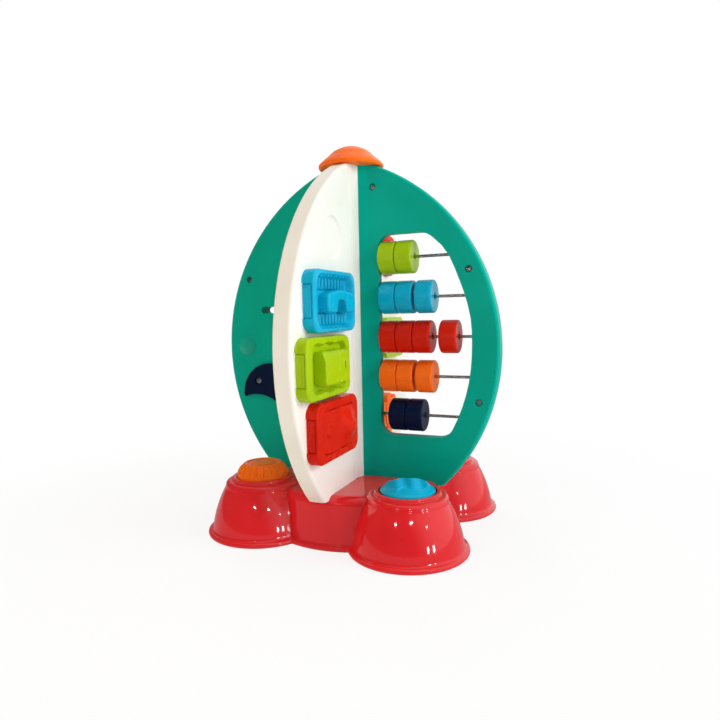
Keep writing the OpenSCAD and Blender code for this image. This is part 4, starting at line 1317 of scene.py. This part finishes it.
@dataclass
class PlateHandles:
    """What moves on the front plates: the turning handle, the sliding block and the rocker."""

    blue: FrontPlate
    lime: FrontPlate
    red: FrontPlate
    handle_w: float = 56
    handle_d: float = 20
    notch_w: float = 19
    notch_d: float = 11
    handle_arch: float = 5
    handle_low: float = 7.4
    low: float = 5.8
    high: float = 17.5
    block_w: float = 48
    block_h: float = 29
    block_rest: float = 3
    band_low: float = 5.5
    band_drop: float = 3.4
    slit_at: tuple[float, float] = (14.6, 0.4)
    slit_w: float = 2.0
    slit_h: float = 7
    slit_d: float = 3.0
    rocker_w: float = 62
    rocker_h: float = 38
    rocker_low: float = 8.3
    rocker_end: float = 13.2
    rocker_seam: float = 1.4
    rocker_pin: float = 9
    rocker_set: float = 6
    lobe: tuple[float, float, float] = (-20.0, 5.0, 1.8)
    wing: tuple[float, float, float] = (16.0, 9.4, 8.0)

    def handle_rows(self) -> np.ndarray:
        """Rows of the arched handle: a bowed outline with a round notch, and a rounded front edge.

        The bow is part of a circle over the handle's length.

        Returns:
            Points, rows by columns by 3.
        """
        w, d, n = self.handle_w / 2, self.handle_d / 2, self.notch_w / 2
        top = -d + self.notch_d
        bow_r = (w**2 + self.handle_arch**2) / (2 * self.handle_arch)
        x = np.linspace(w - 6, 6 - w, 11)
        bow = np.stack([x, d - bow_r + np.sqrt(bow_r**2 - x**2)], -1)
        end = d - self.handle_arch
        corners = np.vstack([
            [[w, -d], [w, end]], bow,
            [[-w, end], [-w, -d], [-n, -d], [-n, top], [n, top], [n, -d]],
        ])
        radii = np.array([6.0, 4.5, *[20.0] * len(bow), 4.5, 6, 3.2, 7, 7, 3.2])
        loop = evened(filleted(corners, radii, 12), 360)
        return slab(loop, self.handle_low, self.high, 2.4, 9)

    def block_rows(self) -> np.ndarray:
        """Rows of the sliding block.

        Its front is drawn as outlines that shrink to the middle. Towards the upper edge the height
        drops by a power of the distance, and it dips in a small upright slit.

        Returns:
            Points, rows by columns by 3, with a pole at each end.
        """
        loop = round_rect(self.block_w, self.block_h, 3.2, 70, 10)
        side = slab(loop, self.low, self.high, 1.1, 6)
        share = np.linspace(1, 0, 90)[1:]
        face = stacked(side[-1, :, :2] * share[:, None, None], np.full(len(share), self.high))
        rows = np.concatenate([side[:1] * [0, 0, 1], side, face])
        a, b = rows[..., 0], rows[..., 1]
        band = np.clip((b - self.band_low) / (self.block_h / 2 - self.band_low), 0, 1)
        slit = np.clip((self.slit_w / 2 - np.abs(a - self.slit_at[0])) / 0.4 + 0.5, 0, 1)
        slit = slit * np.clip((self.slit_h / 2 - np.abs(b - self.slit_at[1])) / 0.4 + 0.5, 0, 1)
        front = rows[..., 2] > self.low + 1
        rows[..., 2] -= front * (self.band_drop * band**1.4 + self.slit_d * slit)
        return rows

    def rocker_rows(self) -> np.ndarray:
        """Rows of the rocker, tilted about its pin as it rests.

        Left of a bell-shaped seam the front is level with a small round finger lobe. Right of it
        the front is one large lobe, a bell curve of the distance from its middle.

        Returns:
            Points, rows by columns by 3, with a pole at each end.
        """
        loop = round_rect(self.rocker_w, self.rocker_h, 7, 60, 10)
        share = np.concatenate([[1.0, 0.996, 0.985, 0.965], np.linspace(0.94, 0, 64)])
        face = loop[None] * share[:, None, None]
        a, b = face[..., 0], face[..., 1]
        at, r, rise = self.lobe
        left = self.rocker_end + rise * np.clip(1 - np.hypot(a - at, b) ** 2 / r**2, 0, 1) ** 0.7
        at, low, rise = self.wing
        right = low + rise * np.exp(-(((a - at) / 12.5) ** 2) - (b / 11.5) ** 2)
        side = np.clip(a / 1.4 + 0.5, 0, 1)
        out = left + (right - left) * side - self.rocker_seam * np.exp(-((a / 1.0) ** 2))
        out[:3] -= np.array([1.0, 0.55, 0.2])[:, None]
        under = stacked(face[:1], [self.rocker_low])
        rows = np.concatenate([under * [0, 0, 1], under, np.stack([a, b, out], -1)])
        tilt, lever = math.radians(self.rocker_set), rows[..., 2] - self.rocker_pin
        along = rows[..., 0] * math.cos(tilt) - lever * math.sin(tilt)
        rows[..., 2] = self.rocker_pin + lever * math.cos(tilt) + rows[..., 0] * math.sin(tilt)
        rows[..., 0] = along
        return rows

    def build(self, finishes: Finishes) -> None:
        """Make the three movers on their bodies.

        Args:
            finishes: The materials.
        """
        Skin().add(self.blue.to_fin(self.handle_rows())).piece(
            "turn_handle_arch", "turn_handle", Slot.BLUE, finishes, ("turn_handle",), 40, True
        )
        block = self.block_rows() + [self.block_rest, 0, 0]
        Skin().add(self.lime.to_fin(block), Ends.POLES).piece(
            "slide_block_cap", "slide_block", Slot.LIME, finishes, ("slide_block",), 30, True
        )
        Skin().add(self.red.to_fin(self.rocker_rows()), Ends.POLES).piece(
            "rocker_wings", "rocker", Slot.RED, finishes, ("rocker",), 28
        )


@dataclass
class NoseCap:
    """Orange cap on the fins: a rolled brim that sweeps up to a low crown.

    Rows of sweep are a radius and a height over the brim's underside.
    """

    z: float = 361.02
    brim_r: float = 33
    brim_t: float = 4.8
    sweep: tuple[tuple[float, float], ...] = (
        (30.4, 6.0), (28.4, 7.9), (26.2, 9.6), (24.2, 11.2), (22.6, 12.8), (20.6, 14.8),
        (18.2, 16.8), (15.4, 18.4), (13.0, 19.2), (12.3, 19.35), (11.8, 19.7), (11.2, 20.25),
        (10.4, 20.5), (6.5, 20.8), (3.2, 20.95), (0, 21),
    )

    def rows(self) -> np.ndarray:
        """Rows of the cap: a profile, hollow at half its height, turned round the axis.

        Returns:
            Points, rows by columns by 3, with a pole at each end.
        """
        edge = self.brim_t / 2
        roll = arc((self.brim_r - edge, edge), edge, -90, 45, 12)
        return turned(np.vstack([[[0, 0]], roll, self.sweep]), 128)

    def build(self, finishes: Finishes) -> None:
        """Make the cap as one piece, in its finish."""
        Skin().add(set_at(self.rows(), Axis.UP, (0, 0, self.z)), Ends.POLES).piece(
            "nose_cap_moulding", "root", Slot.ORANGE, finishes, ("nose_cap",), 40
        )


@dataclass
class FinShells:
    """The fins' half shells and the pieces on the left and back fins, as eased copies.

    A post is a low strip in a corner of the cross: its width and its height over the fin's face.
    """

    edge: float = 0.5
    mover_edge: float = 1.0
    slider_edge: float = 0.25
    dome_at: tuple[float, float, float] = (-127.5, -9.0, 183.0)
    dome_r: float = 10.8
    dome_h: float = 4.3
    arc_at: tuple[float, float] = (-45.0, 180.0)
    window_r: float = 169
    recess_at: tuple[float, float] = (-66.2, 285.8)
    recess_r: float = 19.4
    recess_cad: tuple[float, float, float] = (-70.0, 280.0, 23.0)
    face: float = 9
    white_posts: tuple[tuple[float, float], ...] = ((20.5, 0.5), (12.5, 0.9))
    teal_post: tuple[float, float] = (9.6, 0.7)
    post_low: float = 50
    post_high: float = 357.5
    shells: dict[str, Slot] = field(default_factory=lambda: {
        "right_fin_front": Slot.TEAL, "right_fin_back": Slot.TEAL,
        "left_fin_front": Slot.TEAL, "left_fin_back": Slot.TEAL,
        "front_fin_right": Slot.WHITE, "front_fin_left": Slot.WHITE,
        "back_fin_right": Slot.WHITE, "back_fin_left": Slot.WHITE,
    })
    movers: dict[str, Slot] = field(default_factory=lambda: {
        "crescent": Slot.NAVY, "track_slider": Slot.LIME, "spinner_disc": Slot.RED,
        "back_slider": Slot.LIME, "lobed_dial": Slot.ORANGE, "battery_cover": Slot.GREY,
    })

    def dome_rows(self) -> np.ndarray:
        """Rows of the dome on the left fin: part of a ball with a small step round its foot.

        Returns:
            Points, rows by columns by 3, with a pole at each end.
        """
        r, h = self.dome_r, self.dome_h
        radius = np.linspace(r - 0.4, 0, 16)
        cap = np.stack([radius, 0.5 + (h - 0.5) * (1 - (radius / r) ** 2)], -1)
        rows = turned(np.vstack([[[0, -1.0], [r, -1.0], [r, 0.3]], cap]), 72)
        return set_at(rows, Axis.FRONT, self.dome_at)

    def wider_window(self, points: np.ndarray) -> np.ndarray:
        """Push the window's arc out, most of all near its upper corner.

        The push is a ramp plus a bell curve of the bearing round the rim's centre.

        Args:
            points: Points of a right half shell.

        Returns:
            The points, those near the arc moved away from the rim's centre.
        """
        away = points[:, ::2] - self.arc_at
        far, bearing = np.hypot(*away.T), np.degrees(np.arctan2(away[:, 1], away[:, 0]))
        push = 1.5 * np.clip(bearing / 10, 0, 1) + 1.9 * np.exp(-(((bearing - 32.0) / 5.5) ** 2))
        push = push * np.clip((40.5 - bearing) / 3, 0, 1) * (np.abs(far - self.window_r - 3) < 6)
        moved = points.copy()
        moved[:, ::2] += away * (push / np.maximum(far, 1))[:, None]
        return moved

    def smaller_recess(self, points: np.ndarray) -> np.ndarray:
        """Carry the edges of the round recess to a smaller circle with a sloping wall.

        Args:
            points: Points of the front fin's right half shell.

        Returns:
            The points, those of the recess moved.
        """
        y, z, r = self.recess_cad
        away = points[:, 1:] - [y, z]
        far = np.hypot(*away.T)
        edge = (np.abs(far - r) < 0.3) & (points[:, 0] > 7.2)
        new_r = self.recess_r + np.where(points[:, 0] > 8.4, 0.9, -0.9)
        moved = points.copy()
        moved[edge & (points[:, 0] < 8.4), 0] -= 0.8
        moved[edge, 1:] = self.recess_at + (away * (new_r / np.maximum(far, 1))[:, None])[edge]
        return moved

    def post_rows(self, wide: float, out: float) -> np.ndarray:
        """Rows of a low strip along the fins' corner, from the base to the cap.

        Args:
            wide: Width from the corner.
            out: Height over the fin's face.

        Returns:
            Points, rows by columns by 3, of width, height up and height out.
        """
        tall = self.post_high - self.post_low
        rows = slab(round_rect(wide, tall, 0.6, 12, 4), -0.6, out, 0.45, 4)
        return rows + [wide / 2, self.post_low + tall / 2, 0]

    def build(self, frame: dict, finishes: Finishes) -> None:
        """Make the copies, the dome and the strips in the four corners.

        Args:
            finishes: The materials.
        """
        white, teal = Skin(), Skin()
        for sx, sy in QUARTERS:
            for size in self.white_posts:
                a, b, c = np.moveaxis(self.post_rows(*size), -1, 0)
                white.add(np.stack([sx * (self.face + c), sy * (self.face + a), b], -1))
            a, b, c = np.moveaxis(self.post_rows(*self.teal_post), -1, 0)
            teal.add(np.stack([sx * (self.face + a), sy * (self.face + c), b], -1))
        white.piece("fin_posts_white", "root", Slot.WHITE, finishes)
        teal.piece("fin_posts_teal", "root", Slot.TEAL, finishes)
        ways = {
            "right_fin_front": self.wider_window, "right_fin_back": self.wider_window,
            "front_fin_right": self.smaller_recess,
        }
        for node, slot in self.shells.items():
            eased_copy(frame, node, slot, finishes, self.edge, ways.get(node))
        for node, slot in self.movers.items():
            # A wider rounding would fill the corner of the slider's neck, which needs its slot.
            edge = self.slider_edge if node == "back_slider" else self.mover_edge
            eased_copy(frame, node, slot, finishes, edge)
        Skin().add(self.dome_rows(), Ends.POLES).piece("left_fin_dome", "root", Slot.DOME, finishes)


class Fittings:
    """CAD nodes that keep their shape and take a finish: rods, pins, and what the base holds."""

    nodes: dict[str, Slot] = {
        "rod_lime": Slot.STEEL, "rod_blue": Slot.STEEL, "rod_red": Slot.STEEL,
        "rod_orange": Slot.STEEL, "rod_navy": Slot.STEEL, "rocker_pin": Slot.STEEL,
        "base_screws": Slot.STEEL, "fin_foot_screws": Slot.STEEL,
        "base_plate": Slot.GREY, "batteries": Slot.CELL,
        "circuit_board": Slot.BOARD, "speaker": Slot.BLACK, "button_switches": Slot.BLACK,
    }

    def dress(self, frame: dict, finishes: Finishes) -> None:
        """Give each node its material.

        Args:
            finishes: The materials.
        """
        for node, slot in self.nodes.items():
            mesh = frame["nodes"][node].data
            mesh.materials.clear()
            mesh.materials.append(finishes[slot])
            LOG.info("%s: finished in %s", node, slot.record)


# Studio


@dataclass(frozen=True)
class PhotoCamera:
    """Camera at the photograph's view.

    Attributes:
        place: Position in millimetres.
        azimuth: Bearing of the camera from -Y towards +X, in degrees.
        pitch: Angle below the horizon, in degrees.
        roll: Turn about the line of sight, in degrees.
        focal_px: Focal length in pixels of the frame.
        centre_px: Where the line of sight meets the frame.
        frame_px: Width and height of the frame.
    """

    place: tuple[float, float, float] = (242.4, -552.9, 217.1)
    azimuth: float = 23.669
    pitch: float = 5.576
    roll: float = -1.266
    focal_px: float = 579.95
    centre_px: tuple[float, float] = (355.65, 369.35)
    frame_px: float = 720

    def build(self) -> None:
        """Make the camera and set it as the scene's."""
        az, pitch, roll = (math.radians(v) for v in (self.azimuth, self.pitch, self.roll))
        level = math.cos(pitch)
        ahead = Vector((-math.sin(az) * level, math.cos(az) * level, -math.sin(pitch)))
        right = Vector((math.cos(az), math.sin(az), 0))
        up = right.cross(ahead)
        turned_right = right * math.cos(roll) + up * math.sin(roll)
        turned_up = up * math.cos(roll) - right * math.sin(roll)
        data = bpy.data.cameras.new("photo_camera")
        data.sensor_width = 36
        data.lens = self.focal_px * data.sensor_width / self.frame_px
        data.shift_x = (self.frame_px / 2 - self.centre_px[0]) / self.frame_px
        data.shift_y = (self.centre_px[1] - self.frame_px / 2) / self.frame_px
        data.clip_start, data.clip_end = 0.01, 50
        camera = bpy.data.objects.new("photo_camera", data)
        columns = Matrix((turned_right, turned_up, -ahead)).transposed()
        camera.matrix_world = Matrix.Translation(Vector(self.place) * MM) @ columns.to_4x4()
        bpy.context.scene.collection.objects.link(camera)
        bpy.context.scene.camera = camera


@dataclass(frozen=True)
class SoftLamp:
    """Area lamp that looks at the board's middle.

    Attributes:
        name: Name of the lamp.
        place: Position in metres.
        width: Width in metres.
        height: Height in metres.
        watts: Power.
        colour: Colour of the light.
        mirrored: Whether glossy plastic shows the lamp itself.
        aim: Point that it looks at, in metres.
    """

    name: str
    place: tuple[float, float, float]
    width: float
    height: float
    watts: float
    colour: str = "#ffffff"
    mirrored: bool = False
    aim: tuple[float, float, float] = (0, 0, 0.17)

    def build(self) -> None:
        """Make the lamp."""
        data = bpy.data.lights.new(self.name, "AREA")
        data.shape, data.size, data.size_y = "RECTANGLE", self.width, self.height
        data.energy = self.watts
        data.color = linear(self.colour)[:3]
        lamp = bpy.data.objects.new(self.name, data)
        lamp.location = self.place
        lamp.rotation_mode = "QUATERNION"
        sight = Vector(self.aim) - Vector(self.place)
        lamp.rotation_quaternion = sight.to_track_quat("-Z", "Y")
        lamp.visible_glossy = self.mirrored
        lamp.visible_camera = False
        bpy.context.scene.collection.objects.link(lamp)


@dataclass
class Studio:
    """White sweep behind the board, soft lamps, and a dimmer room on the camera's side.

    The small spots and the two upright windows are what the bells mirror as bright marks. The
    surround is the world's strength for matt light, and the room is what gloss sees of it.
    """

    surround: float = 0.24
    floor_glow: float = 0.82
    floor_mirrored: float = 0.4
    floor_half: float = 4.0
    room: float = 0.1
    sweep: tuple[float, float, float] = (0.62, 0.58, 0.53)
    lamps: tuple[SoftLamp, ...] = (
        SoftLamp("key_right", (1.5, 0.0, 0.8), 0.8, 0.8, 17.2, "#f6f9ff"),
        SoftLamp("fill_front", (-0.3, -1.6, 0.7), 0.9, 0.7, 3.0, "#ffdfb4"),
        SoftLamp("fill_left", (-1.3, -0.8, 0.6), 0.8, 0.8, 7.6, "#ffe9ca"),
        SoftLamp("top_soft", (0.1, 0.0, 1.6), 0.9, 0.9, 7.0),
        SoftLamp("fill_back", (-1.2, 1.1, 0.9), 0.9, 0.9, 8.0),
        SoftLamp("spot_a", (-0.01, -0.52, 0.25), 0.05, 0.012, 0.08, mirrored=True),
        SoftLamp("spot_b", (0.25, -0.41, 0.24), 0.05, 0.012, 0.08, mirrored=True),
        SoftLamp("spot_c", (0.44, -0.26, 0.19), 0.03, 0.01, 0.03, mirrored=True),
        SoftLamp("window_a", (1.32, -0.85, 0.12), 0.09, 0.15, 1.3, mirrored=True),
        SoftLamp("window_b", (1.45, -0.56, 0.10), 0.09, 0.15, 1.3, mirrored=True),
    )

    def build_surround(self) -> None:
        """Make the world: white to the eye and through glass, and to gloss on the sweep's side."""
        world = bpy.data.worlds.new("white_surround")
        bpy.context.scene.world = world
        tree = cleared(world)
        white = linear("#ffffff")
        path = add_node(tree, "LightPath").outputs
        way = add_node(tree, "TexCoord").outputs["Generated"]
        facing = add_node(tree, "VectorMath", {0: way, 1: self.sweep}, operation="DOT_PRODUCT")
        side = add_node(tree, "MapRange", {
            "Value": facing.outputs["Value"], "From Min": -0.15, "From Max": 0.75,
        }, interpolation_type="SMOOTHSTEP")
        gloss = add_node(tree, "Math", {
            0: path["Is Glossy Ray"], 1: side.outputs["Result"],
        }, operation="MULTIPLY")
        eye = add_node(tree, "Math", {
            0: path["Is Camera Ray"], 1: path["Is Transmission Ray"],
        }, operation="MAXIMUM")
        seen = add_node(tree, "Math", {0: eye.outputs[0], 1: gloss.outputs[0]}, operation="MAXIMUM")
        matt = add_node(tree, "Math", {
            0: path["Is Glossy Ray"], 1: self.room - self.surround, 2: self.surround,
        }, operation="MULTIPLY_ADD")
        dim = add_node(tree, "Background", {"Color": white, "Strength": matt.outputs[0]})
        bright = add_node(tree, "Background", {"Color": white, "Strength": 1.0})
        mixed = add_node(tree, "MixShader", {
            0: seen.outputs[0], 1: dim.outputs[0], 2: bright.outputs[0],
        })
        add_node(tree, "OutputWorld", {"Surface": mixed.outputs[0]})

    def build_floor(self) -> None:
        """Make the floor: matt paper that keeps the board's shadow and fades to the surround."""
        made = bpy.data.materials.new("matt_white_paper")
        tree = cleared(made)
        path = add_node(tree, "LightPath").outputs
        place = add_node(tree, "TexCoord").outputs["Object"]
        away = add_node(tree, "VectorMath", {0: place}, operation="LENGTH")
        glow = add_node(tree, "MapRange", {
            "Value": away.outputs["Value"], "From Min": 0.14, "From Max": 0.6,
            "To Min": self.floor_glow,
        }, interpolation_type="SMOOTHSTEP")
        eye = add_node(tree, "Math", {
            0: path["Is Camera Ray"], 1: path["Is Transmission Ray"],
        }, operation="MAXIMUM")
        direct = add_node(tree, "Math", {
            0: eye.outputs[0], 1: glow.outputs["Result"],
        }, operation="MULTIPLY")
        share = add_node(tree, "Math", {
            0: direct.outputs[0], 1: path["Is Glossy Ray"],
        }, operation="MAXIMUM")
        level = add_node(tree, "Math", {
            0: path["Is Glossy Ray"], 1: self.floor_mirrored - 1.0, 2: 1.0,
        }, operation="MULTIPLY_ADD")
        paper = add_node(tree, "BsdfDiffuse", {"Color": linear("#f4f4f2")})
        white = add_node(tree, "Emission", {
            "Color": linear("#ffffff"), "Strength": level.outputs[0],
        })
        mixed = add_node(tree, "MixShader", {
            0: share.outputs[0], 1: paper.outputs[0], 2: white.outputs[0],
        })
        add_node(tree, "OutputMaterial", {"Surface": mixed.outputs[0]})
        mesh = bpy.data.meshes.new("floor")
        corners = [(x * self.floor_half, y * self.floor_half, 0)
                   for x, y in ((-1, -1), (1, -1), (1, 1), (-1, 1))]
        mesh.from_pydata(corners, [], [(0, 1, 2, 3)])
        mesh.materials.append(made)
        floor = bpy.data.objects.new("floor", mesh)
        bpy.context.scene.collection.objects.link(floor)

    def build(self) -> None:
        """Make the camera, the lamps, the surround and the floor."""
        PhotoCamera().build()
        for lamp in self.lamps:
            lamp.build()
        self.build_surround()
        self.build_floor()
        bpy.context.scene.view_settings.view_transform = "Standard"


def main() -> None:
    """Build the board's looks in order."""
    logging.basicConfig(level=logging.INFO, format="%(message)s")
    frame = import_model()
    finishes = Finishes()
    Studio().build()
    BaseShell().build(finishes)
    for button in (
        PushButton("front", 1, -1, Crown.WAVES, Slot.BLUE),
        PushButton("left", -1, -1, Crown.FLUTES, Slot.AMBER),
        PushButton("right", 1, 1, Crown.WAVES, Slot.LIME),
        PushButton("back", -1, 1, Crown.FLUTES, Slot.NAVY),
    ):
        button.build(finishes)
    FinShells().build(frame, finishes)
    Abacus().build(finishes)
    ScrewHeads().build(finishes)
    blue = FrontPlate("blue_plate", Slot.BLUE, Recess.RIBS, -84.5, 227.5, floor=4.2)
    lime = FrontPlate("lime_plate", Slot.LIME, Recess.SCALLOPS, -100.0, 170.5)
    red = FrontPlate("red_plate", Slot.RED, Recess.PLAIN, -84.5, 113.5, floor=4.6)
    for plate in (blue, lime, red):
        plate.build(finishes)
    PlateHandles(blue, lime, red).build(finishes)
    NoseCap().build(finishes)
    Fittings().dress(frame, finishes)


if __name__ == "__main__":
    main()
